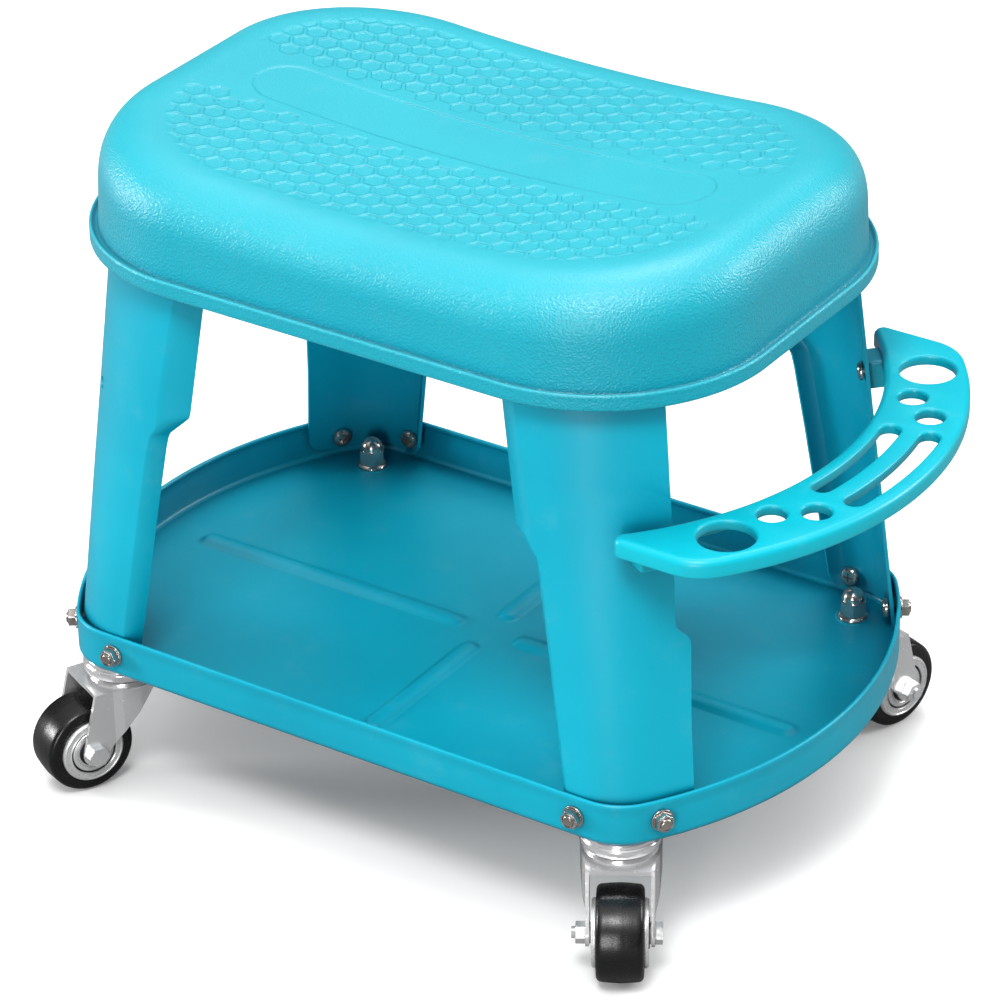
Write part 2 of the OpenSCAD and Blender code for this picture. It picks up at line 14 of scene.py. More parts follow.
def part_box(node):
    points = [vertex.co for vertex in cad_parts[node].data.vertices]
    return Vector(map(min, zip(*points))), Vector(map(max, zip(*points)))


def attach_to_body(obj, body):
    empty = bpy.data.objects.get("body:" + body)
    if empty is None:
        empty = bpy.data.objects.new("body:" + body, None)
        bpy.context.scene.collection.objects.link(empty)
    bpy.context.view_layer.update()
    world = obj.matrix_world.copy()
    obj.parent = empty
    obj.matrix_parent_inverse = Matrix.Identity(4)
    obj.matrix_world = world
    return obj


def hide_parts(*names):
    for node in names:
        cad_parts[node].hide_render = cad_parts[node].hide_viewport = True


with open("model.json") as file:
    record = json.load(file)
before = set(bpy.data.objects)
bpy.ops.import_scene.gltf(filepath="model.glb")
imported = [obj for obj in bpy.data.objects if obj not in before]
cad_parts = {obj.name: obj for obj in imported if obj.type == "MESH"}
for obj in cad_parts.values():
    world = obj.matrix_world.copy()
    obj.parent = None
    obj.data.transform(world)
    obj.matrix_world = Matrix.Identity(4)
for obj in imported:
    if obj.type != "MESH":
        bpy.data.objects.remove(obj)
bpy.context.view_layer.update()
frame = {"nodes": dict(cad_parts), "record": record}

RECORD = frame["record"]
NODES = frame["nodes"]
SCENE = bpy.context.scene
CASTORS = ["fl", "fr", "rl", "rr"]


def mm(metres):
    return np.array(metres, float) * 1000


def box_mm(node):
    low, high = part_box(node)
    return mm(low), mm(high)


TRAY_LOW, TRAY_HIGH = box_mm("tray")
SEAT_LOW, SEAT_HIGH = box_mm("seat_shell")
HOLDER_LOW, HOLDER_HIGH = box_mm("tool_holder")


# ----------------------------------------------------------------- materials
def rgba(value):
    """Linear colour of an sRGB hex string; any other value is passed through."""
    if not isinstance(value, str):
        return value
    parts = [int(value[i:i + 2], 16) / 255 for i in (1, 3, 5)]
    return [x / 12.92 if x <= 0.04045 else ((x + 0.055) / 1.055) ** 2.4 for x in parts] + [1]


class Material:
    """A Principled material, with short calls that add nodes and return their outputs."""

    def __init__(self, name):
        self.name = name
        self.data = bpy.data.materials.new(name)
        self.data.use_nodes = True
        self.tree = self.data.node_tree
        self.tree.nodes.clear()
        output = self.node("ShaderNodeOutputMaterial")
        self.shader = self.node("ShaderNodeBsdfPrincipled")
        self.feed(output.inputs[0], self.shader.outputs[0])
        self.coords = self.node("ShaderNodeTexCoord").outputs["Object"]

    def feed(self, socket, value):
        """Links an output to the socket, or sets a plain value on it."""
        if isinstance(value, bpy.types.NodeSocket):
            self.tree.links.new(value, socket)
        else:
            socket.default_value = rgba(value)

    def node(self, kind, inputs=None, **settings):
        node = self.tree.nodes.new(kind)
        for key, value in settings.items():
            setattr(node, key, value)
        for key, value in (inputs or {}).items():
            self.feed(node.inputs[key], value)
        return node

    def surface(self, inputs):
        for key, value in inputs.items():
            self.feed(self.shader.inputs[key], value)

    def noise(self, scale, detail, rough):
        return self.node("ShaderNodeTexNoise", {
            "Scale": scale, "Detail": detail, "Roughness": rough,
            "Vector": self.coords}).outputs["Fac"]

    def ramp(self, factor, stops):
        node = self.node("ShaderNodeValToRGB", {0: factor})
        elements = node.color_ramp.elements
        while len(elements) < len(stops):
            elements.new(0.5)
        for k, (position, colour) in enumerate(stops):
            elements[k].position = position
            elements[k].color = rgba(colour)
        return node.outputs[0]

    def remap(self, value, span, to):
        return self.node("ShaderNodeMapRange", {
            "From Min": span[0], "From Max": span[1],
            "To Min": to[0], "To Max": to[1], "Value": value}).outputs["Result"]

    def mix(self, factor, first, second):
        return self.node("ShaderNodeMix", {0: factor, 6: first, 7: second},
                         data_type="RGBA", blend_type="MIX").outputs[2]

    def math(self, operation, first, second):
        return self.node("ShaderNodeMath", {0: first, 1: second}, operation=operation).outputs[0]

    def edges(self, span):
        """1 on convex edges, 0 on flat surfaces."""
        geometry = self.node("ShaderNodeNewGeometry")
        return self.remap(geometry.outputs["Pointiness"], span=span, to=(0, 1))

    def openness(self, distance):
        """Ambient occlusion: 1 in the open, falling in hollows."""
        node = self.node("ShaderNodeAmbientOcclusion", {"Distance": distance}, samples=8)
        return node.outputs["AO"]

    def normal_z(self):
        split = self.node("ShaderNodeSeparateXYZ")
        self.feed(split.inputs[0], self.node("ShaderNodeNewGeometry").outputs["Normal"])
        return split.outputs["Z"]

    def bump(self, height, strength, distance, normal=None):
        inputs = {"Strength": strength, "Distance": distance, "Height": height}
        if normal is not None:
            inputs["Normal"] = normal
        return self.node("ShaderNodeBump", inputs).outputs["Normal"]


def turquoise(name, dark, mid, light, rough, grain, bump):
    """Turquoise paint or plastic: pale worn edges, faint dust, and painted shade in the hollows.
    """
    mat = Material(name)
    patches = mat.noise(scale=9, detail=3, rough=0.5)
    fine = mat.noise(scale=grain, detail=5, rough=0.6)
    base = mat.ramp(patches, [(0.3, dark), (0.5, mid), (0.72, light)])
    worn = mat.math("MULTIPLY", mat.edges(span=(0.515, 0.56)), mat.remap(
        mat.noise(scale=240, detail=3, rough=0.7), span=(0.45, 0.7), to=(0, 0.5)))
    base = mat.mix(worn, base, light)
    dust = mat.remap(mat.noise(scale=38, detail=6, rough=0.7), span=(0.55, 0.8), to=(0, 0.10))
    base = mat.mix(dust, base, "#9fd6de")
    # painted shade: ambient occlusion darkens hollows and recesses towards a deep blue
    hollow_shade = mat.remap(mat.openness(distance=0.15), span=(0.3, 0.9), to=(0.75, 0.0))
    mat.surface({
        "Base Color": mat.mix(hollow_shade, base, "#004a68"),
        "Roughness": mat.math(
            "ADD", mat.remap(fine, span=(0.3, 0.7), to=(rough - 0.05, rough + 0.06)),
            mat.remap(patches, span=(0.3, 0.7), to=(-0.03, 0.03))),
        "Normal": mat.bump(mat.noise(scale=grain, detail=2, rough=0.5),
                           strength=bump, distance=0.0002),
        "Coat Weight": 0.0,
        "Coat Roughness": 0.22,
        "IOR": 1.45,
        "Specular IOR Level": 0.5,
    })
    return mat


def seat_plastic():
    """Turquoise plastic with pebbled grain, with painted shade in the grooves, in the hollows and
    on the sides.
    """
    mat = Material("seat_plastic")
    base = mat.ramp(mat.noise(scale=8, detail=3, rough=0.5),
                    [(0.3, "#12b3c6"), (0.5, "#15b9cc"), (0.7, "#1abed0")])
    dust = mat.remap(mat.noise(scale=45, detail=6, rough=0.7), span=(0.55, 0.8), to=(0, 0.08))
    base = mat.mix(dust, base, "#a5dce2")
    # painted shade: the walls of the hexagon cells and the pill edge are darkened
    groove = mat.node("ShaderNodeAttribute", attribute_name="groove").outputs["Fac"]
    base = mat.mix(mat.remap(groove, span=(0.15, 1.0), to=(0.0, 0.7)), base, "#037e97")
    # painted shade: ambient occlusion darkens the crease above the flange and other hollows
    hollow_shade = mat.remap(mat.openness(distance=0.03), span=(0.25, 0.85), to=(0.7, 0.0))
    base = mat.mix(hollow_shade, base, "#005a74")
    upward = mat.normal_z()
    # painted shade: faces that point less upward, the sides, are mixed towards a deeper turquoise;
    # their specular level is lowered too
    base = mat.mix(mat.remap(upward, span=(0.1, 0.6), to=(0.55, 0.0)), base, "#009fb8")
    specular = mat.remap(upward, span=(0.1, 0.5), to=(0.45, 0.9))

    # pebbles of about a millimetre, on coordinates pushed about by noise
    pebbles = mat.node("ShaderNodeTexVoronoi", {"Scale": 950.0, "Randomness": 1.0},
                       feature="SMOOTH_F1")
    warped = mat.node("ShaderNodeVectorMath", {0: mat.coords}, operation="ADD")
    push = mat.noise(scale=300.0, detail=2.0, rough=0.5).node.outputs["Color"]
    push = mat.node("ShaderNodeVectorMath", {"Scale": 0.0007, 0: push}, operation="SCALE")
    mat.feed(warped.inputs[1], push.outputs[0])
    mat.feed(pebbles.inputs["Vector"], warped.outputs[0])
    relief = mat.math("MULTIPLY", pebbles.outputs["Distance"], 1.0)
    coarse = mat.bump(relief, strength=0.8, distance=0.00045)
    # the pebbles are shallower where the surface faces up
    mat.feed(coarse.node.inputs["Strength"],
             mat.remap(mat.normal_z(), span=(0.75, 0.99), to=(0.85, 0.3)))
    mat.surface({
        "Specular IOR Level": specular,
        "Base Color": base,
        "Normal": mat.bump(mat.noise(scale=2600, detail=2, rough=0.6),
                           strength=0.10, distance=0.0002, normal=coarse),
        "Roughness": mat.remap(mat.noise(scale=700, detail=4, rough=0.6),
                               span=(0.3, 0.7), to=(0.36, 0.48)),
        "Sheen Weight": 0.08,
        "Sheen Roughness": 0.45,
    })
    return mat


def metal(name, dark, light, rough, grain, anisotropy=0.0, spots=0.06, metallic=0.8, bump=0.06):
    """Bright metal with painted highlights on its edges and a few dull spots."""
    mat = Material(name)
    base = mat.ramp(mat.noise(scale=60, detail=4, rough=0.6), [(0.3, dark), (0.6, light)])
    # painted highlight: convex edges are mixed halfway towards white
    base = mat.mix(mat.math("MULTIPLY", mat.edges(span=(0.52, 0.6)), 0.5), base, "#ffffff")
    dull = mat.remap(mat.noise(scale=400, detail=5, rough=0.7), span=(0.58, 0.8), to=(0, spots))
    mat.surface({
        "Base Color": mat.mix(dull, base, "#6b6763"),
        "Metallic": metallic,
        "Roughness": mat.remap(mat.noise(scale=grain, detail=5, rough=0.65),
                               span=(0.3, 0.7), to=(rough - 0.06, rough + 0.08)),
        "Normal": mat.bump(mat.noise(scale=grain * 1.7, detail=3, rough=0.6),
                           strength=bump, distance=0.0001),
        "Anisotropic": anisotropy,
    })
    return mat


def black(name, colour, rough, grain):
    """Black rubber or plastic with a little dust."""
    mat = Material(name)
    base = mat.ramp(mat.noise(scale=80, detail=4, rough=0.6), [(0.35, colour), (0.7, "#121213")])
    dust = mat.remap(mat.noise(scale=300, detail=6, rough=0.7), span=(0.6, 0.8), to=(0, 0.12))
    mat.surface({
        "Base Color": mat.mix(dust, base, "#3a3937"),
        "Roughness": mat.remap(mat.noise(scale=grain, detail=4, rough=0.6),
                               span=(0.3, 0.7), to=(rough - 0.05, rough + 0.1)),
        "Normal": mat.bump(mat.noise(scale=grain * 1.5, detail=3, rough=0.6),
                           strength=0.08, distance=0.0002),
    })
    return mat


MATERIALS = {mat.name: mat.data for mat in (
    turquoise("powder_coat", dark="#00acc9", mid="#00b4d0", light="#00bbd7",
              rough=0.35, grain=900, bump=0.12),
    turquoise("holder_plastic", dark="#01bcd0", mid="#02c4d8", light="#08cbde",
              rough=0.34, grain=700, bump=0.05),
    seat_plastic(),
    metal("zinc_steel", dark="#f0f0f2", light="#f8f8f9", rough=0.20, grain=500,
          spots=0.015, metallic=0.72, bump=0.015),
    metal("rim_steel", dark="#ececed", light="#f4f4f4", rough=0.30, grain=1400,
          anisotropy=0.3, spots=0.02, metallic=0.6, bump=0.03),
    metal("nickel_fastener", dark="#989089", light="#bdb6b0", rough=0.18, grain=700,
          spots=0.02, metallic=0.92, bump=0.02),
    metal("ball_steel", dark="#b9bbc0", light="#d8d8da", rough=0.12, grain=800),
    black("tyre", colour="#060607", rough=0.27, grain=1500),
    black("hub_plastic", colour="#101011", rough=0.45, grain=500),
)}

slot_of = {part["node"]: part["material_slot"] for part in RECORD["subparts"]}
for name, piece in NODES.items():
    piece.data.materials.clear()
    piece.data.materials.append(MATERIALS[slot_of[name]])
    piece.modifiers.new("weld", "WELD").merge_threshold = 1e-6


# ------------------------------------------------------------- mesh helpers
def mesh_obj(name, verts, faces, material, smooth=True):
    """Object from vertices in metres."""
    mesh = bpy.data.meshes.new(name)
    mesh.from_pydata([tuple(v) for v in verts], [], [tuple(f) for f in faces])
    mesh.validate()
    mesh.update()
    if smooth:
        mesh.polygons.foreach_set("use_smooth", [True] * len(mesh.polygons))
    obj = bpy.data.objects.new(name, mesh)
    SCENE.collection.objects.link(obj)
    mesh.materials.append(material)
    return obj


def clean(obj, merge):
    """Merges doubled vertices, drops collapsed faces and turns all normals outward."""
    mesh = bmesh.new()
    mesh.from_mesh(obj.data)
    bmesh.ops.remove_doubles(mesh, verts=mesh.verts, dist=merge)
    bmesh.ops.dissolve_degenerate(mesh, edges=mesh.edges, dist=1e-7)
    bmesh.ops.recalc_face_normals(mesh, faces=mesh.faces)
    mesh.to_mesh(obj.data)
    mesh.free()
    obj.data.polygons.foreach_set("use_smooth", [True] * len(obj.data.polygons))


def build(name, verts, faces, slot, merge=1e-6):
    """Cleaned object from vertices in millimetres."""
    obj = mesh_obj(name, np.asarray(verts, float) / 1000, faces, MATERIALS[slot])
    clean(obj, merge)
    return obj


def attach(obj, body="frame", node=None):
    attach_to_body(obj, body)
    if node:
        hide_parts(node)


def bevel(obj, width, segments=2, angle=35, harden=False):
    modifier = obj.modifiers.new("bevel", "BEVEL")
    modifier.width = width / 1000
    modifier.segments = segments
    modifier.limit_method = "ANGLE"
    modifier.angle_limit = math.radians(angle)
    modifier.harden_normals = harden
    modifier.use_clamp_overlap = True


def split_shading(obj, angle):
    """Splits the shading at edges sharper than the angle."""
    obj.data.set_sharp_from_angle(angle=math.radians(angle))


def cut(obj, verts, faces):
    """Cuts a helper solid out of obj and keeps the resulting mesh."""
    mesh = bpy.data.meshes.new("cutter")
    mesh.from_pydata([tuple(v / 1000) for v in verts], [], faces)
    cutter = bpy.data.objects.new("cutter", mesh)
    SCENE.collection.objects.link(cutter)
    modifier = obj.modifiers.new("cut", "BOOLEAN")
    modifier.operation = "DIFFERENCE"
    modifier.solver = "EXACT"
    modifier.object = cutter
    bpy.context.view_layer.update()
    depsgraph = bpy.context.evaluated_depsgraph_get()
    result = bpy.data.meshes.new_from_object(obj.evaluated_get(depsgraph))
    before = obj.data
    obj.modifiers.clear()
    obj.data = result
    result.name = before.name
    bpy.data.objects.remove(cutter)
    bpy.data.meshes.remove(mesh)


def unit(angle):
    """Plane direction at an angle in degrees from +X."""
    return np.array([math.cos(math.radians(angle)), math.sin(math.radians(angle))])


def arc_points(centre, radius, start, end, count):
    return [np.array(centre) + radius * unit(a) for a in np.linspace(start, end, count)]


def smoothstep(t):
    return t * t * (3 - 2 * t)


def at_height(points, z):
    """Adds one height, or a height for each point, to points in the plane."""
    return np.column_stack([points, np.broadcast_to(z, len(points))])


def ring_faces(rows, n, flip=False):
    """Quads between successive closed rings of n points."""
    i, j = np.meshgrid(np.arange(rows - 1), np.arange(n), indexing="ij")
    here, below = i * n, (i + 1) * n
    after = (j + 1) % n
    corners = [here + j, here + after, below + after, below + j]
    return np.stack(corners[::-1] if flip else corners, -1).reshape(-1, 4)


def closing_faces(rows, n):
    """Quads that join the last ring back to the first."""
    last = (rows - 1) * n
    return [(last + j, last + (j + 1) % n, (j + 1) % n, j) for j in range(n)]


def two_skins(rows, cols):
    """Quads of two open grids, the second one facing the other way."""
    i, j = np.meshgrid(np.arange(rows - 1), np.arange(cols - 1), indexing="ij")
    a = i * cols + j
    quads = np.stack([a, a + 1, a + cols + 1, a + cols], -1).reshape(-1, 4)
    return quads.tolist() + (quads[:, ::-1] + rows * cols).tolist()


def axis_frame(axis):
    """Unit axis and two unit vectors square to it."""
    along = np.array(axis, float)
    along /= np.linalg.norm(along)
    side = np.cross([0, 0, 1] if abs(along[2]) < 0.9 else [1, 0, 0], along)
    side /= np.linalg.norm(side)
    return along, side, np.cross(along, side)


def cylinder(centre, axis, radius, height, n):
    """Vertices and faces of a solid cylinder; the ring at the lower end of the axis is first."""
    along, u, w = axis_frame(axis)
    verts = []
    for end in (-1, 1):
        for k in range(n):
            t = 2 * math.pi * k / n
            verts.append(np.array(centre) + along * end * height / 2
                         - radius * (u * math.cos(t) + w * math.sin(t)))
    faces = [(k, (k + 1) % n, n + (k + 1) % n, n + k) for k in range(n)]
    faces += [tuple(range(n - 1, -1, -1)), tuple(range(n, 2 * n))]
    return verts, faces


def lathe(name, centre, axis, profile, n, slot, body="frame", closed=False):
    """Turns a profile of (radius, distance along the axis) about the axis."""
    along, u, w = axis_frame(axis)
    verts = []
    for radius, height in profile:
        for k in range(n):
            t = 2 * math.pi * k / n
            verts.append(np.array(centre) + along * height
                         + radius * (u * math.cos(t) + w * math.sin(t)))
    faces = ring_faces(len(profile), n).tolist()
    if closed:
        faces += closing_faces(len(profile), n)
    obj = build(name, verts, faces, slot)
    split_shading(obj, 30)
    attach(obj, body)


# ------------------------------------------------------------------ stage
GROUND = min(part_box("tyre_" + key)[0].z for key in CASTORS)
FLOOR_HALF = 6


def make_floor():
    mat = Material("floor")
    seen = mat.node("ShaderNodeLightPath").outputs["Is Camera Ray"]
    pale = mat.ramp(mat.noise(scale=3, detail=3, rough=0.5),
                    [(0.3, (0.90, 0.90, 0.90, 1)), (0.7, (0.93, 0.93, 0.93, 1))])
    # the camera sees a pale, emissive floor whose emission drops near the parts, a painted contact
    # shadow; other rays meet a dark grey one
    base = mat.mix(seen, (0.24, 0.24, 0.24, 1), pale)
    # painted shadow: ambient occlusion lowers the floor's emission near the parts
    glow_with_shadow = mat.remap(mat.openness(distance=0.16), span=(0.35, 0.88), to=(0.10, 0.46))
    mat.surface({
        "Base Color": base,
        "Emission Color": (1.0, 0.985, 0.98, 1),
        "Emission Strength": mat.math("MULTIPLY", seen, glow_with_shadow),
        "Roughness": 0.8,
        "Specular IOR Level": 0.1,
    })
    corners = [(sx * FLOOR_HALF, sy * FLOOR_HALF, GROUND)
               for sx, sy in ((-1, -1), (1, -1), (1, 1), (-1, 1))]
    mesh_obj("floor", corners, [(0, 1, 2, 3)], mat.data, smooth=False)


def area_light(name, at, target, width, height, watts):
    light = bpy.data.lights.new(name, "AREA")
    light.shape = "RECTANGLE"
    light.size = width
    light.size_y = height
    light.energy = watts
    obj = bpy.data.objects.new(name, light)
    obj.location = at
    obj.rotation_euler = (Vector(target) - Vector(at)).to_track_quat("-Z", "Y").to_euler()
    SCENE.collection.objects.link(obj)


def make_world():
    """White light from above, dim below the horizon; the camera sees an even pale backdrop."""
    world = bpy.data.worlds.new("studio")
    world.use_nodes = True
    nodes, link = world.node_tree.nodes, world.node_tree.links.new
    background = nodes["Background"]
    background.inputs["Color"].default_value = (1, 1, 1, 1)
    split = nodes.new("ShaderNodeSeparateXYZ")
    fade = nodes.new("ShaderNodeMapRange")
    link(nodes.new("ShaderNodeTexCoord").outputs["Generated"], split.inputs[0])
    link(split.outputs["Z"], fade.inputs["Value"])
    for key, value in {"From Min": 0.45, "From Max": 0.95, "To Min": 0.08, "To Max": 1.25}.items():
        fade.inputs[key].default_value = value
    strength = nodes.new("ShaderNodeMath")
    strength.operation = "MAXIMUM"
    link(fade.outputs["Result"], strength.inputs[0])
    link(nodes.new("ShaderNodeLightPath").outputs["Is Camera Ray"], strength.inputs[1])
    link(strength.outputs[0], background.inputs["Strength"])
    SCENE.world = world


make_floor()
area_light("key", at=(0.55, -1.2, 2.0), target=(0, 0, 0.2), width=0.6, height=0.6, watts=24)
area_light("front", at=(0.85, -2.2, 0.45), target=(0, 0, 0.12), width=0.4, height=1.0, watts=19)
area_light("left", at=(-2.1, -1.0, 0.5), target=(0, 0, 0.12), width=0.5, height=0.5, watts=27)
area_light("right", at=(1.7, 1.5, 1.0), target=(0, 0, 0.25), width=0.8, height=0.8, watts=24)
area_light("back", at=(-0.35, 1.05, 2.6), target=(0, 0, 0.3), width=1.1, height=1.1, watts=17)
make_world()
SCENE.view_settings.view_transform = "Standard"


# ------------------------------------------------- places read from the CAD pieces
def vertices_mm(node):
    return np.array([v.co for v in NODES[node].data.vertices]) * 1000


def part_centres(node, count):
    """Box centres of the separate small parts that make up one CAD piece."""
    verts = vertices_mm(node)
    reach = 24                               # no part is wider than this
    used = np.zeros(len(verts), bool)
    centres = []
    while not used.all() and len(centres) < count:
        first = verts[int(np.argmin(used))]
        part = (np.linalg.norm(verts - first, axis=1) < reach) & ~used
        centres.append((verts[part].min(0) + verts[part].max(0)) / 2)
        used |= part
    return centres


def holder_screw_axis():
    """Place and outward direction (+X side) of the rear holder screw."""
    verts = vertices_mm("holder_screws")
    verts = verts[verts[:, 1] > 0]
    centre = verts.mean(0)
    axis = np.linalg.eigh(np.cov((verts - centre).T))[1][:, 2]
    if axis[0] < 0:
        axis = -axis
    return centre + axis * (((verts - centre) @ axis).min() + 3.5), axis


LEG_TOP = box_mm("leg_rear_right")[1][2]
SEAT_SCREWS = [(abs(c[0]), abs(c[1])) for c in part_centres("seat_screws", 8)
               if c[0] > 0 and c[1] > 0]
HOLDER_SCREW, HOLDER_SCREW_AXIS = holder_screw_axis()

# ------------------------------------------------------------------ seat
FLANGE_X = (SEAT_HIGH - SEAT_LOW)[0] / 2 - 0.6     # half sizes of the flange outline
FLANGE_Y = (SEAT_HIGH - SEAT_LOW)[1] / 2 - 0.2
FLANGE_RADIUS = 94.0
FLANGE = 5.0                             # flange edge to the foot of the side wall
SEAT_BASE = SEAT_LOW[2]
SEAT_RISE = 53.3                         # height of the top at the middle
SADDLE = 0.000404                        # the top rises by this times x squared
SHOULDER = 27.0                          # size of the rounded shoulder
SHOULDER_POWER = 2.3                     # superellipse power of the shoulder
WALL_RISE = SEAT_RISE - SHOULDER         # height at which the shoulder starts
SKIN = 2.4
WALL_SLOPE = 0.05                        # inset per millimetre of height
RING_STEPS_X, RING_STEPS_Y, RING_ARC = 240, 90, 150
RIB_X, RIB_Y = (-60, 0, 60), (-45, 45)   # places of the ribs across and along the seat
RIB_HALF_X, RIB_HALF_Y = 152, 98
RIB_BOTTOM = SEAT_BASE + 37

# Flange section, from the inside of the wall foot round the edge: (inset, height)
FLANGE_PROFILE = [
    (FLANGE + 2.4, 0.6), (FLANGE + 1.9, 0.1), (FLANGE, 0), (3, 0), (1.0, 0.0), (0.45, 0.15),
    (0.12, 0.5), (0, 1.0), (0.05, 3), (0.1, 5.4), (0.12, 6.6), (0.05, 7.1), (0.15, 7.8),
    (0.5, 8.45), (1.05, 8.75), (1.6, 8.6), (2.0, 8.1), (2.2, 7.4), (2.5, 6.9), (3.1, 6.6),
    (3.8, 6.6), (4.4, 6.9), (4.8, 7.6), (5.0, 8.6),
]


def hexagon_relief(x, y, pitch=12.3, across_flats=10.2):
    """1 inside a hexagon cell, 0 on the walls; neighbours lie at 30, 90 and 150 degrees."""
    a = unit(30) * pitch
    b = np.array([0, 1.0]) * pitch
    det = a[0] * b[1] - a[1] * b[0]
    a_index = np.floor((x * b[1] - y * b[0]) / det)
    b_index = np.floor((a[0] * y - a[1] * x) / det)
    nearest = np.full(x.shape, 1e9)
    cell_x, cell_y = np.zeros(x.shape), np.zeros(x.shape)
    for i in (0, 1):
        for j in (0, 1):
            centre_x = (a_index + i) * a[0] + (b_index + j) * b[0]
            centre_y = (a_index + i) * a[1] + (b_index + j) * b[1]
            distance = np.hypot(x - centre_x, y - centre_y)
            closer = distance < nearest
            nearest = np.where(closer, distance, nearest)
            cell_x = np.where(closer, centre_x, cell_x)
            cell_y = np.where(closer, centre_y, cell_y)
    span = np.zeros(x.shape)
    for angle in (30, 90, 150):
        normal = unit(angle)
        span = np.maximum(span, np.abs((x - cell_x) * normal[0] + (y - cell_y) * normal[1]))
    inside = np.clip((across_flats / 2 - span) / 0.8 + 0.5, 0, 1)
    # whole cells only, inside a rounded rectangle and clear of the pill along the middle
    zone_x, zone_y, zone_radius, middle_gap = 160.0, 106.0, 74.0, 28.5
    out_x = np.maximum(np.abs(cell_x) - (zone_x - zone_radius), 0)
    out_y = np.maximum(np.abs(cell_y) - (zone_y - zone_radius), 0)
    keep = (np.hypot(out_x, out_y) < zone_radius) & (np.abs(cell_y) > middle_gap)
    return smoothstep(inside) * keep


def pill_relief(x, y, half_length=135.0, half_width=19.5):
    """1 inside the round-ended panel along the middle of the seat."""
    outside = np.hypot(np.maximum(np.abs(x) - (half_length - half_width), 0), y) - half_width
    return smoothstep(np.clip(0.5 - outside, 0, 1))


def seat_ring(inset, radius):
    """Counter-clockwise rounded rectangle, with the same point count at every size."""
    half_x, half_y = FLANGE_X - inset, FLANGE_Y - inset
    radius = min(radius, half_y)
    flat_x, flat_y = half_x - radius, half_y - radius
    points = []
    for sx, sy, start, direction, length, steps in (
            (1, 1, 0, (-1, 0), 2 * flat_x, RING_STEPS_X),
            (-1, 1, 90, (0, -1), 2 * flat_y, RING_STEPS_Y),
            (-1, -1, 180, (1, 0), 2 * flat_x, RING_STEPS_X),
            (1, -1, 270, (0, 1), 2 * flat_y, RING_STEPS_Y)):
        points += arc_points((sx * flat_x, sy * flat_y), radius, start, start + 90, RING_ARC)
        end = points[-1]
        points += [end + np.array(direction) * length * k / steps for k in range(1, steps)]
    return np.array(points)


def crown_ring(inset, skin=0.0):
    """Ring above the flange, whose corners tighten slowly as it shrinks."""
    radius = FLANGE_RADIUS - FLANGE - skin - (inset - FLANGE - skin) * 0.62
    return seat_ring(inset, max(radius, 20))


def shoulder_station(angle, skin=0.0):
    """Inset and height on the shoulder, from 0 degrees at the wall to 90 at the top."""
    size = SHOULDER - skin
    height = WALL_RISE + size * math.sin(math.radians(angle)) ** (2 / SHOULDER_POWER)
    inward = 1 - math.cos(math.radians(angle)) ** (2 / SHOULDER_POWER)
    return FLANGE + skin + WALL_SLOPE * (height - 8) + size * inward, height


TOP_INSET = shoulder_station(90)[0]


def seat_side():
    """Rings of the flange, wall and shoulder."""
    rings = [at_height(seat_ring(inset, FLANGE_RADIUS - inset), SEAT_BASE + height)
             for inset, height in FLANGE_PROFILE]
    stations = [(FLANGE + WALL_SLOPE * (height - 8), height)
                for height in np.linspace(10.5, WALL_RISE, 7)]
    stations += [shoulder_station(angle) for angle in np.linspace(0, 90, 30)[1:]]
    for inset, height in stations:
        ring = crown_ring(inset)
        share = (height / SEAT_RISE) * min((height - 9) / 12, 1.0)   # share of the saddle lift
        rings.append(at_height(ring, SEAT_BASE + height + SADDLE * ring[:, 0] ** 2 * share))
    return rings


def seat_top():
    """Rings of the top with its relief, and the strength of the painted groove shade at each
    point.
    """
    rings, groove_shades = [], []
    for inset in np.linspace(TOP_INSET, FLANGE_Y, int((FLANGE_Y - TOP_INSET) / 0.8))[1:]:
        ring = crown_ring(inset)
        x, y = ring[:, 0], ring[:, 1]
        fade = np.clip((inset - TOP_INSET - 2) / 3, 0, 1)
        cells, pill = hexagon_relief(x, y), pill_relief(x, y)
        z = SEAT_BASE + SEAT_RISE + SADDLE * x ** 2 - 0.5 * cells * fade - 0.45 * pill
        rings.append(at_height(ring, z))
        groove_shades.append(np.maximum(4 * cells * (1 - cells) * fade ** 2, 3.4 * pill * (1 - pill)))
    return rings, groove_shades


def seat_inside():
    """Rings of the inner skin, from the centre line back down to the foot of the wall."""
    rings = []
    for inset in np.linspace(FLANGE_Y, TOP_INSET + 2, 14):
        ring = crown_ring(inset, SKIN)
        z = SEAT_BASE + SEAT_RISE - SKIN + SADDLE * ring[:, 0] ** 2
        rings.append(at_height(ring, z))
    for angle in np.linspace(90, 0, 12):
        inset, height = shoulder_station(angle, SKIN)
        ring = crown_ring(inset, SKIN)
        lift = SADDLE * ring[:, 0] ** 2 * height / SEAT_RISE
        rings.append(at_height(ring, SEAT_BASE + height + lift))
    for height in (20, 10, 3, 1):
        inset = FLANGE + SKIN + WALL_SLOPE * max(height - 8, 0)
        ring = seat_ring(inset, FLANGE_RADIUS - FLANGE - SKIN)
        rings.append(at_height(ring, SEAT_BASE + height))
    return rings


def rib_top(x):
    """Height just inside the top skin."""
    return SEAT_BASE + SEAT_RISE - 1.2 + SADDLE * x ** 2


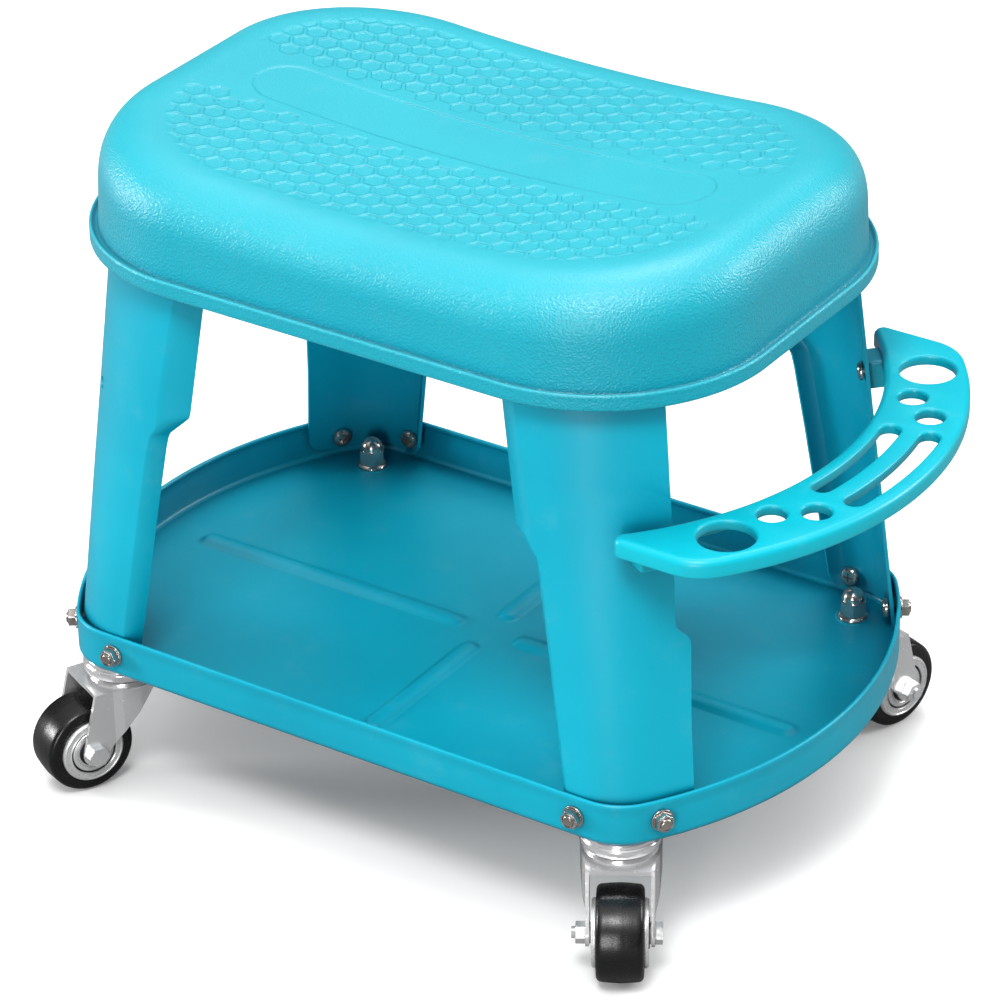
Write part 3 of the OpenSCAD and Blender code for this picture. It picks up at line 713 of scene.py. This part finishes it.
def rib_wall(start, end, half_thickness=1.2, steps=24):
    """Upright wall under the top; its upper edge follows the saddle."""
    start, end = np.array(start, float), np.array(end, float)
    along = (end - start) / np.linalg.norm(end - start)
    side = np.array([-along[1], along[0]]) * half_thickness
    verts, faces = [], []
    for i in range(steps + 1):
        centre = start + (end - start) * i / steps
        for s in (-1, 1):
            verts.append((*(centre + side * s), RIB_BOTTOM))
            verts.append((*(centre + side * s), rib_top(centre[0])))
    for a in range(0, 4 * steps, 4):
        b = a + 4
        faces += [(a, b, b + 1, a + 1), (a + 2, a + 3, b + 3, b + 2),
                  (a, a + 2, b + 2, b), (a + 1, b + 1, b + 3, a + 3)]
    last = 4 * steps
    faces += [(0, 1, 3, 2), (last, last + 2, last + 3, last + 1)]
    return verts, faces


def shoulder_height(x, y):
    """Height of the outer skin near the shoulder."""
    radius = FLANGE_RADIUS - FLANGE
    out_x = abs(x) - (FLANGE_X - FLANGE - radius)
    out_y = abs(y) - (FLANGE_Y - FLANGE - radius)
    outside = math.hypot(max(out_x, 0), max(out_y, 0)) + min(max(out_x, out_y), 0)
    inset = radius - outside - 1.5
    c = min(max(1 - inset / SHOULDER, 0), 1)
    rise = (1 - c ** SHOULDER_POWER) ** (1 / SHOULDER_POWER)
    return SEAT_BASE + WALL_RISE + SHOULDER * rise + SADDLE * x * x


def screw_boss(x, y, radius=6.5, n=48):
    """Boss from just above the leg tab up to the top skin, kept below the shoulder."""
    bottom, top = LEG_TOP + 0.1, rib_top(x)
    verts, faces = cylinder((x, y, (bottom + top) / 2), (0, 0, 1), radius, top - bottom, n)
    for v in verts[n:]:
        v[2] = min(v[2], shoulder_height(v[0], v[1]) - 3.2)
    return verts, faces


def make_seat_ribs():
    parts = [rib_wall((x, -RIB_HALF_Y), (x, RIB_HALF_Y)) for x in RIB_X]
    parts += [rib_wall((-RIB_HALF_X, y), (RIB_HALF_X, y)) for y in RIB_Y]
    parts += [screw_boss(sx * x, sy * y)
              for sx in (-1, 1) for sy in (-1, 1) for x, y in SEAT_SCREWS]
    verts, faces = [], []
    for part_verts, part_faces in parts:
        base = len(verts)
        verts += part_verts
        faces += [tuple(i + base for i in face) for face in part_faces]
    return build("seat_ribs", verts, faces, "seat_plastic", merge=2e-6)


def make_seat():
    side, inside = seat_side(), seat_inside()
    top, groove_shades = seat_top()
    n = len(side[0])
    outer_rows = len(side) + len(top)
    rows = outer_rows + len(inside)
    verts = np.vstack(side + top + inside)
    # each skin closes along the centre line; the two are joined at the foot of the wall
    faces = ring_faces(outer_rows, n).tolist()
    faces += (ring_faces(rows - outer_rows, n) + outer_rows * n).tolist()
    faces += closing_faces(rows, n)
    seat = mesh_obj("seat", verts / 1000, faces, MATERIALS["seat_plastic"], smooth=False)
    # strength of the painted shade in the hexagon and pill grooves, stored for the material
    groove = np.zeros(len(verts))
    groove[len(side) * n:outer_rows * n] = np.concatenate(groove_shades)
    seat.data.attributes.new("groove", "FLOAT", "POINT").data.foreach_set("value", groove)
    clean(seat, merge=3e-6)
    ribs = make_seat_ribs()
    bevel(ribs, 0.5)
    split_shading(ribs, 40)
    attach(seat, node="seat_shell")
    attach(ribs)


# ------------------------------------------------------------------ tray
TRAY_HALF_X = (TRAY_HIGH[0] - TRAY_LOW[0]) / 2
TRAY_HALF_Y = (TRAY_HIGH[1] - TRAY_LOW[1]) / 2
TRAY_TOP, TRAY_UNDER = TRAY_HIGH[2], TRAY_LOW[2]
END_BULGE = 51.0                         # how far the end arcs bow out
CORNER = 31.0                            # corner radius
END_RADIUS = (TRAY_HALF_Y ** 2 + END_BULGE ** 2) / (2 * END_BULGE)
END_X = TRAY_HALF_X - END_RADIUS         # centre of the right end arc
CORNER_Y = TRAY_HALF_Y - CORNER          # centre of the corner arc
CORNER_DX = math.sqrt((END_RADIUS - CORNER) ** 2 - CORNER_Y ** 2)
CORNER_X = END_X + CORNER_DX
TRAY_SHEET = 1.2
BEND_IN, BEND_OUT = 2.4, 3.4             # radii where the floor turns up into the wall
FLOOR_INSET = TRAY_SHEET + BEND_IN       # from the outline to the flat floor
RIM_BEAD = 1.1                           # radius of the rolled top edge
OUTER_WALL = 0.12                        # inset of the outer wall face
FLOOR_ROWS, FLOOR_COLS = 250, 380


def floor_half_length(y):
    """Half length of the flat floor at y."""
    y = abs(y)
    end, corner = END_RADIUS - FLOOR_INSET, CORNER - FLOOR_INSET
    if y <= end * CORNER_Y / math.hypot(CORNER_DX, CORNER_Y):
        return END_X + math.sqrt(max(end ** 2 - y * y, 0))
    return CORNER_X + math.sqrt(max(corner ** 2 - (y - CORNER_Y) ** 2, 0))


def tray_normal(point):
    """Outward direction of the tray outline at a point on its floor edge."""
    x, y = abs(point[0]), abs(point[1])
    if x <= CORNER_X and y > CORNER_Y:
        normal = np.array([0, 1.0])
    elif math.atan2(y, x - END_X) <= math.atan2(CORNER_Y, CORNER_DX) + 1e-9:
        normal = np.array([x - END_X, y])
    else:
        normal = np.array([x - CORNER_X, y - CORNER_Y])
    normal = normal / np.linalg.norm(normal)
    nx = math.copysign(normal[0], point[0]) if point[0] else normal[0]
    return np.array([nx, math.copysign(normal[1], point[1])])


def floor_ribs(x, y, height=2.4, half_width=5.8):
    """Height of the four pressed ribs: two along the tray and two across it."""
    rise = np.zeros_like(x)
    for along, across, centre, half_length in ((x, y, 102, 80), (y, x, 63, 43)):
        for side in (-1, 1):
            past_end = np.maximum(np.abs(along - side * centre) - half_length, 0)
            distance = np.hypot(past_end, across)
            rib = height * np.clip(1 - (distance / half_width) ** 3.4, 0, 1)
            rise = np.maximum(rise, rib)
    return rise


def tray_wall_profile():
    """Section from the floor up the inner face and down the outer one: (inset, z)."""
    wall = TRAY_SHEET
    hem = TRAY_TOP - 3.2
    profile = []
    for angle in np.linspace(0, 90, 7)[1:]:
        s, c = math.sin(math.radians(angle)), math.cos(math.radians(angle))
        profile.append((FLOOR_INSET - BEND_IN * s, BEND_IN * (1 - c)))
    profile += [(wall, 8), (wall, 15), (wall, hem - 0.4), (wall + 0.15, hem),
                (1.9, hem + 0.5), (2.2, hem + 1.0)]
    for angle in np.linspace(0, 180, 11):
        s, c = math.sin(math.radians(angle)), math.cos(math.radians(angle))
        profile.append((RIM_BEAD + RIM_BEAD * c, TRAY_TOP - RIM_BEAD + RIM_BEAD * s))
    profile += [(0.02, TRAY_TOP - 3.0), (OUTER_WALL, TRAY_TOP - 3.4), (OUTER_WALL, 15),
                (OUTER_WALL, 8), (OUTER_WALL, 3)]
    for angle in np.linspace(90, 0, 9):
        s, c = math.sin(math.radians(angle)), math.cos(math.radians(angle))
        profile.append((OUTER_WALL + BEND_OUT * (1 - s), TRAY_UNDER + BEND_OUT * (1 - c)))
    return profile


def make_tray():
    rows, cols = FLOOR_ROWS, FLOOR_COLS
    # rows get closer towards the straight sides so that the corners stay round
    quarter = math.pi / 2 * 0.985
    row_y = (TRAY_HALF_Y - FLOOR_INSET) * np.sin(np.linspace(-1, 1, rows) * quarter)
    row_y /= math.sin(quarter)
    x = np.array([floor_half_length(y) * np.linspace(-1, 1, cols) for y in row_y])
    y = np.repeat(row_y[:, None], cols, 1)
    rise = floor_ribs(x, y)
    top = np.stack([x, y, rise], -1).reshape(-1, 3)
    under = np.stack([x, y, rise + TRAY_UNDER], -1).reshape(-1, 3)
    faces = two_skins(rows, cols)

    # edge of the floor grid, counter-clockwise, and the wall rings that stand on it
    loop = list(range(cols))
    loop += [r * cols + cols - 1 for r in range(1, rows)]
    loop += [(rows - 1) * cols + c for c in range(cols - 2, -1, -1)]
    loop += [r * cols for r in range(rows - 2, 0, -1)]
    edge = top[loop][:, :2]
    outward = np.array([tray_normal(p) for p in edge])
    profile = tray_wall_profile()
    rings = [at_height(edge + outward * (FLOOR_INSET - inset), z) for inset, z in profile]
    n = len(loop)
    first = len(top) + len(under)
    last = first + (len(profile) - 1) * n
    for q in range(n):
        w = (q + 1) % n
        faces.append((first + q, first + w, loop[w], loop[q]))
        faces.append((len(top) + loop[q], len(top) + loop[w], last + w, last + q))
    faces += (ring_faces(len(profile), n, flip=True) + first).tolist()
    tray = build("tray_sheet", np.vstack([top, under] + rings), faces, "powder_coat", merge=2e-6)
    attach(tray, node="tray")

    # low round pads at the stem washers
    pad = [(0, 0.25), (8.9, 0.25), (9.3, 0.2), (9.8, -0.1), (0, -0.1)]
    for k, washer in enumerate(part_centres("stem_washers", 4)):
        lathe("washer_pad_%d" % k, (washer[0], washer[1], 0), (0, 0, 1), pad, 48, "powder_coat")


# ------------------------------------------------------------------ legs
LEG_TURN = 57                            # degrees between the long side and the end side
HALF_TURN = math.tan(math.radians(LEG_TURN / 2))
END_SIDE = np.array([math.sin(math.radians(90 - LEG_TURN)),
                     -math.cos(math.radians(90 - LEG_TURN))])
LEG_SHEET = 1.8
FOOT_Z, FOOT_ROUND = 5.0, 9
LIP_POINTS, FLAT_POINTS, BEND_POINTS, END_POINTS = 14, 10, 34, 10
TAB_Z = LEG_TOP - 2.2                    # top of the folded sides, just under the tab face

# Measured outlines of the leg by height: (z, width or radius)
LONG_WIDTH = [(4, 32.4), (21, 33), (100, 37.2), (136, 39.6), (143, 40.3), (145, 41.2),
              (155.5, 51.4), (157.5, 52.2), (225, 55.4), (252, 56.5)]
END_WIDTH = [(2, 42.4), (21, 42.8), (60, 43.5), (99, 45.4), (102.5, 45.2), (105, 43.6),
             (107.5, 40.6), (110, 38.4), (113, 37.8), (165, 38.9), (252, 39)]
BEND_RADIUS = [(4, 36), (60, 40), (100, 48), (155, 66), (252, 82)]
# Inner corners of the tab, beyond the folded sides: (x, y)
TAB_INNER = [(136, 82), (122, 88), (104, 96), (90, 104)]

LEG_HEIGHTS = np.unique(np.concatenate([
    FOOT_Z + FOOT_ROUND * (1 - np.cos(np.linspace(0, math.pi / 2, 10))),
    np.arange(15, 95, 8.0), np.arange(96, 116, 1.2), np.arange(118, 132, 6.0),
    np.arange(133, 168, 1.5), np.arange(172, LEG_TOP - 3, 8.0), [TAB_Z]]))


def from_table(table, z):
    return float(np.interp(z, *zip(*table)))


def leg_path(z):
    """Mid-line of the rear right leg at z, from the long side's free edge round to the
    end side's: points and outward normals."""
    corner = np.array([164.2 - 0.098 * (z - 21.3), 135.7 - 0.058 * (z - 21.3)])
    radius = from_table(BEND_RADIUS, z)
    tangent = radius * HALF_TURN             # from the corner to the start of the bend
    long_width, end_width = from_table(LONG_WIDTH, z), from_table(END_WIDTH, z)
    if z < FOOT_Z + FOOT_ROUND:
        into = FOOT_Z + FOOT_ROUND - z
        trim = FOOT_ROUND - math.sqrt(max(FOOT_ROUND ** 2 - into ** 2, 0))
        long_width, end_width = long_width - trim, end_width - trim
    # the free edge of the long side curls in; the curl is wider in the upper part
    upper = smoothstep(np.clip((z - 134) / 30, 0, 1))
    curl = (long_width - 6.5) * (1 - upper) + max(tangent + 1, 31) * upper
    curl = min(max(curl, tangent + 0.5), long_width - 3)
    drop = 7.4 * (1 - upper) + 8.6 * upper
    points = []
    for u in np.linspace(1, 0, LIP_POINTS, endpoint=False):
        points.append(corner + np.array([-(curl + (long_width - curl) * u),
                                         -drop * (0.35 * u + 0.65 * u * u)]))
    tangent = min(tangent, curl - 0.3)
    radius = tangent / HALF_TURN
    for u in np.linspace(curl, tangent, FLAT_POINTS, endpoint=False):
        points.append(corner + np.array([-u, 0]))
    turn = float(LEG_TURN)
    if end_width < tangent:
        turn -= math.degrees(math.asin(min((tangent - end_width) / radius, 1)))
    # where no straight end is left, its points are spread over the bend
    straight_end = end_width > tangent + 0.3
    bend_points = BEND_POINTS if straight_end else BEND_POINTS + END_POINTS
    centre = corner + np.array([-tangent, -radius])
    for a in np.linspace(0, turn, bend_points):
        points.append(centre + radius * unit(a)[::-1])
    if straight_end:
        for u in np.linspace(0, 1, END_POINTS + 1)[1:]:
            points.append(corner + END_SIDE * (tangent + (end_width - tangent) * u))
    points = np.array(points)
    along = np.gradient(points, axis=0)
    along /= np.linalg.norm(along, axis=1)[:, None]
    return points, np.column_stack([-along[:, 1], along[:, 0]])


def make_leg(name, node, sx, sy):
    """Folded leg with its top tab; sx and sy mirror the rear right leg."""
    outer, inner = [], []
    for z in LEG_HEIGHTS:
        points, normals = leg_path(z)
        outer.append(at_height(points + normals * LEG_SHEET / 2, z))
        inner.append(at_height(points - normals * LEG_SHEET / 2, z))
    rows, cols = len(outer), len(outer[0])
    skin = rows * cols                       # index step from the outer skin to the inner
    faces = two_skins(rows, cols)
    for r in range(rows - 1):
        p, q = r * cols, (r + 1) * cols
        faces += [(p, q, q + skin, p + skin),
                  (p + cols - 1 + skin, q + cols - 1 + skin, q + cols - 1, p + cols - 1)]
    for c in range(cols - 1):
        t = skin - cols + c
        faces += [(c, c + skin, c + 1 + skin, c + 1), (t + 1, t + 1 + skin, t + skin, t)]
    mirror = np.array([sx, sy, 1])
    if sx * sy < 0:
        faces = [tuple(reversed(face)) for face in faces]
    leg = build(name, np.vstack(outer + inner) * mirror, faces, "powder_coat")
    if sx < 0:
        # the left legs carry no holder, so its screw hole stays open
        shift = np.array([-END_SIDE[0], -END_SIDE[1], 0]) * 4.5
        hole = (HOLDER_SCREW + shift) * mirror
        cut(leg, *cylinder(hole, HOLDER_SCREW_AXIS * mirror, 3.3, 18, 40))
    bevel(leg, 0.45, angle=50)
    split_shading(leg, 45)
    attach(leg, node=node)

    points, normals = leg_path(TAB_Z)
    edge = list(points - normals * 0.2)
    outline = np.array(edge[::3] + [edge[-1]] + TAB_INNER) * mirror[:2]
    n = len(outline)
    verts = np.vstack([at_height(outline, LEG_TOP - 1.8), at_height(outline, LEG_TOP)])
    faces = [tuple(range(n - 1, -1, -1)), tuple(range(n, 2 * n))]
    faces += [(k, (k + 1) % n, n + (k + 1) % n, n + k) for k in range(n)]
    tab = build(name + "_tab", verts, faces, "powder_coat")
    bevel(tab, 0.3)
    split_shading(tab, 40)
    attach(tab)


# ------------------------------------------------------------------ tool holder
HOLDER_TOP = HOLDER_HIGH[2]
HOLDER_HALF_Y = (HOLDER_HIGH[1] - HOLDER_LOW[1]) / 2
OUTER_ARC = 192.0
OUTER_ARC_X = HOLDER_HIGH[0] - OUTER_ARC
INNER_ARC, INNER_ARC_X = 176.0, 33.0
OUTER_CORNER, INNER_CORNER = 26.0, 5.0   # radii at the two tips
SLOT_CENTRE_X = 28.0
SLOT_RADII = (194.0, 214.5)              # the two curved slots
SLOT_WIDTH = 10.6
SLOT_HALF_ANGLE = 9.9
SKIRT, COLLAR = 10.0, 5.5                # depth of the outer skirt and of the hole collars
EDGE_ROUND, HOLE_ROUND = 3.6, 1.7
PLATE = 2.8
SKIRT_INNER, COLLAR_OUTER = 3.1, 2.2     # where skirt and collars meet the plate's underside


def resample(points, step):
    """Evenly spaced points round a closed loop."""
    points = np.array(points)
    ring = np.vstack([points, points[:1]])
    sides = np.linalg.norm(np.diff(ring, axis=0), axis=1)
    run = np.concatenate([[0], np.cumsum(sides)])
    n = max(int(round(run[-1] / step)), 24)
    t = np.arange(n) * run[-1] / n
    return np.column_stack([np.interp(t, run, ring[:, 0]), np.interp(t, run, ring[:, 1])])


def loop_normals(points):
    """Normals to the right of the path: away from the plate for outline and holes alike."""
    along = np.roll(points, -1, 0) - np.roll(points, 1, 0)
    along /= np.linalg.norm(along, axis=1)[:, None]
    return np.column_stack([along[:, 1], -along[:, 0]])


def holder_outline():
    """Crescent, counter-clockwise."""
    out_y, in_y = HOLDER_HALF_Y - OUTER_CORNER, HOLDER_HALF_Y - INNER_CORNER
    out_dx = math.sqrt((OUTER_ARC - OUTER_CORNER) ** 2 - out_y ** 2)
    in_dx = math.sqrt((INNER_ARC + INNER_CORNER) ** 2 - in_y ** 2)
    out_angle = math.degrees(math.atan2(out_y, out_dx))
    in_angle = math.degrees(math.atan2(in_y, in_dx))
    half = arc_points((OUTER_ARC_X, 0), OUTER_ARC, 0, out_angle, 60)
    half += arc_points((OUTER_ARC_X + out_dx, out_y), OUTER_CORNER, out_angle, 90, 24)[1:]
    half += arc_points((INNER_ARC_X + in_dx, in_y), INNER_CORNER, 90, 180 + in_angle, 20)
    half += arc_points((INNER_ARC_X, 0), INNER_ARC, in_angle, 0, 60)[1:]
    other = [np.array([p[0], -p[1]]) for p in half[::-1][1:-1]]
    return resample(half + other, 1.6)


def holder_holes():
    """Round bores and the two curved slots, clockwise."""
    loops = []
    for mount in RECORD["mounts"]:
        if mount["kind"] == "bore":
            x, y = mm(mount["pos_m"])[:2]
            radius = mount["dims"]["r_mm"]
            count = int(radius * 4) + 17
            loops.append(np.array(arc_points((x, y), radius, 360, 0, count)[:-1]))
    centre, angle, half = (SLOT_CENTRE_X, 0), SLOT_HALF_ANGLE, SLOT_WIDTH / 2
    for radius in SLOT_RADII:
        end = np.array(centre) + radius * unit(angle)
        other_end = (end[0], -end[1])
        slot = arc_points(centre, radius + half, -angle, angle, 40)
        slot += arc_points(end, half, angle, angle + 180, 18)[1:]
        slot += arc_points(centre, radius - half, angle, -angle, 40)[1:]
        slot += arc_points(other_end, half, 180 - angle, 360 - angle, 18)[1:-1]
        loops.append(resample(slot, 1.2)[::-1])
    return loops


def flat_face(verts, faces, loops, z, facing_up):
    """Adds a flat face with holes, cut into triangles."""
    polygons = [[Vector((p[0], p[1], 0)) for p in loop] for loop in loops]
    points = [p for polygon in polygons for p in polygon]
    base = len(verts)
    verts.extend([(p.x, p.y, z) for p in points])
    for triangle in tessellate_polygon(polygons):
        a, b, c = (points[i] for i in triangle)
        twice_area = (b.x - a.x) * (c.y - a.y) - (b.y - a.y) * (c.x - a.x)
        if abs(twice_area) < 1e-9:
            continue
        if (twice_area > 0) != facing_up:
            triangle = triangle[::-1]
        faces.append(tuple(base + i for i in triangle))


def edge_strip(verts, faces, loop, profile):
    """Adds rings of (distance away from the plate, z) along a loop."""
    base = len(verts)
    normals = loop_normals(loop)
    for distance, z in profile:
        verts.extend(at_height(loop + normals * distance, z))
    faces.extend((ring_faces(len(profile), len(loop), flip=True) + base).tolist())


def rounded_edge(radius, steps):
    """Quarter round from the top face down to the side of the loop."""
    profile = [(-radius, HOLDER_TOP)]
    for angle in np.linspace(0, 90, steps)[1:]:
        s, c = math.sin(math.radians(angle)), math.cos(math.radians(angle))
        profile.append((-radius + radius * s, HOLDER_TOP - radius + radius * c))
    return profile


def skirt_profile(low_round=1.2):
    bottom = HOLDER_TOP - SKIRT
    profile = rounded_edge(EDGE_ROUND, 9) + [(0.0, bottom + 1.4)]
    for angle in np.linspace(0, 90, 5)[1:]:
        s, c = math.sin(math.radians(angle)), math.cos(math.radians(angle))
        profile.append((-low_round + low_round * c, bottom + low_round - low_round * s))
    return profile + [(-2.0, bottom), (-2.5, bottom + 0.4), (-2.7, bottom + 1),
                      (-SKIRT_INNER, HOLDER_TOP - PLATE)]


def collar_profile():
    bottom = HOLDER_TOP - COLLAR
    return rounded_edge(HOLE_ROUND, 7) + [
        (0, bottom + 0.6), (-0.2, bottom + 0.15), (-0.6, bottom), (-1.6, bottom),
        (-2.0, bottom + 0.2), (-COLLAR_OUTER, bottom + 0.6),
        (-COLLAR_OUTER, HOLDER_TOP - PLATE)]


def make_holder():
    outline, holes = holder_outline(), holder_holes()

    def shrunk(outline_by, holes_by):
        return [outline - loop_normals(outline) * outline_by] + [
            hole - loop_normals(hole) * holes_by for hole in holes]

    verts, faces = [], []
    flat_face(verts, faces, shrunk(EDGE_ROUND, HOLE_ROUND), HOLDER_TOP, True)
    edge_strip(verts, faces, outline, skirt_profile())
    for hole in holes:
        edge_strip(verts, faces, hole, collar_profile())
    flat_face(verts, faces, shrunk(SKIRT_INNER, COLLAR_OUTER), HOLDER_TOP - PLATE, False)
    holder = build("tool_crescent", verts, faces, "holder_plastic", merge=2e-6)
    split_shading(holder, 50)
    attach(holder, node="tool_holder")
    make_ear("holder_ear_rear", 1)
    make_ear("holder_ear_front", -1)


def make_ear(name, sy):
    """Block between the holder and a right leg, round the holder screw."""
    centre = HOLDER_SCREW * np.array([1, sy, 1])
    out = HOLDER_SCREW_AXIS * np.array([1, sy, 1])
    side = np.cross([0, 0, 1], out)
    side /= np.linalg.norm(side)
    up = np.cross(out, side)
    up *= np.sign(up[2])
    verts = [centre + out * depth + side * across + up * rise
             for depth in (0.6, 13.0)
             for across, rise in ((-8.2, -7), (8.2, -7), (8.2, 8.6), (-8.2, 8.6))]
    faces = [(0, 1, 2, 3), (7, 6, 5, 4), (0, 4, 5, 1), (1, 5, 6, 2), (2, 6, 7, 3), (3, 7, 4, 0)]
    ear = build(name, verts, faces, "holder_plastic")
    bevel(ear, 1.4, segments=3)
    split_shading(ear, 60)
    attach(ear)


# ------------------------------------------------------------------ wheels and nuts
RIM_FACE = 13.9                          # from the wheel's middle plane to the rim face
# Rings on each face of a wheel: name, offset from the rim face, slot, (radius, along)
WHEEL_RINGS = [
    ("rim_bead", 0.0, "rim_steel", [
        (16.9, -0.5), (16.85, 0.05), (16.5, 0.35), (16.1, 0.35), (15.8, 0.05), (15.75, -0.5)]),
    ("rim_bead_inner", 0.0, "rim_steel", [
        (13.55, -0.4), (13.5, 0.1), (13.2, 0.3), (12.9, 0.1), (12.85, -0.6)]),
    ("dust_ring", -0.7, "hub_plastic", [
        (12.9, -0.4), (12.85, 0.05), (12.2, 0.1), (11.6, 0.05), (11.55, -0.4)]),
]
# Raised collar of a lock nut: (radius, along)
NUT_COLLAR = [(3.15, -0.4), (3.15, 0.55), (3.3, 0.85), (3.7, 1.0), (4.0, 0.9), (4.25, 0.5),
              (4.3, -0.3)]


def make_wheel_rings(key):
    centre = sum(box_mm("rim_plates_" + key)) / 2
    axle = sum(box_mm("axle_nut_" + key)) - 2 * centre
    axle[2] = 0
    axle /= np.linalg.norm(axle)
    for side, out in (("nut", axle), ("head", -axle)):
        for ring, offset, slot, profile in WHEEL_RINGS:
            lathe("%s_%s_%s" % (ring, side, key), centre + out * (RIM_FACE + offset), out,
                  profile, 64, slot, body="wheel_" + key, closed=True)


def make_nut_collars():
    pairs = zip(part_centres("tray_nuts", 8), part_centres("tray_screws", 8))
    for k, (nut, screw) in enumerate(pairs):
        if abs(nut[0]) < 160:                # on the straight long sides
            out = np.array([0, math.copysign(1, nut[1]), 0])
        else:
            out = np.array([nut[0] - screw[0], nut[1] - screw[1], 0])
            out /= np.linalg.norm(out)
        lathe("nut_collar_%d" % k, nut + out * 2.5, out, NUT_COLLAR, 40,
              "nickel_fastener", closed=True)


make_seat()
make_tray()
for name, node, sx, sy in (("leg_sheet_fl", "leg_front_left", -1, -1),
                           ("leg_sheet_fr", "leg_front_right", 1, -1),
                           ("leg_sheet_rl", "leg_rear_left", -1, 1),
                           ("leg_sheet_rr", "leg_rear_right", 1, 1)):
    make_leg(name, node, sx, sy)
make_holder()
for key in CASTORS:
    make_wheel_rings(key)
make_nut_collars()

# ------------------------------------------------------------------ edges of the CAD pieces
# Bevel widths in millimetres
BEVELS = {"holder_screws": 0.25, "seat_screws": 0.25, "tray_screws": 0.25, "tray_nuts": 0.35,
          "stem_cap_nuts": 0.45, "stem_washers": 0.25}
CASTOR_BEVELS = {"stem": 0.3, "top_race": 0.35, "fork": 0.5, "axle_bolt": 0.4, "axle_nut": 0.4,
                 "axle_sleeve": 0.2, "wheel_hub": 0.3, "rim_plates": 0.25, "tyre": 0.4}
for key in CASTORS:
    BEVELS.update({part + "_" + key: width for part, width in CASTOR_BEVELS.items()})
for name, piece in NODES.items():
    if piece.hide_render:
        continue
    if name in BEVELS:
        bevel(piece, BEVELS[name], angle=28, harden=True)
    piece.modifiers["weld"].merge_threshold = 2e-6

# ------------------------------------------------------------------ camera
AZIMUTH, ELEVATION, ROLL = (math.radians(angle) for angle in (33.454, 29.677, -0.761))
CAMERA_AT = (1.194062, -1.758645, 1.367033 + GROUND)


def make_camera():
    back = np.array([math.sin(AZIMUTH) * math.cos(ELEVATION),
                     -math.cos(AZIMUTH) * math.cos(ELEVATION), math.sin(ELEVATION)])
    level = np.array([math.cos(AZIMUTH), math.sin(AZIMUTH), 0.0])
    upright = np.cross(back, level)
    right = level * math.cos(ROLL) + upright * math.sin(ROLL)
    up = -level * math.sin(ROLL) + upright * math.cos(ROLL)
    camera = bpy.data.cameras.new("camera")
    camera.sensor_width = 36
    camera.lens = 169.171812
    camera.shift_x = -0.037821
    camera.shift_y = -0.003788
    camera.clip_end = 50
    obj = bpy.data.objects.new("camera", camera)
    obj.matrix_world = Matrix([*zip(right, up, back, CAMERA_AT), (0, 0, 0, 1)])
    SCENE.collection.objects.link(obj)
    SCENE.camera = obj


make_camera()
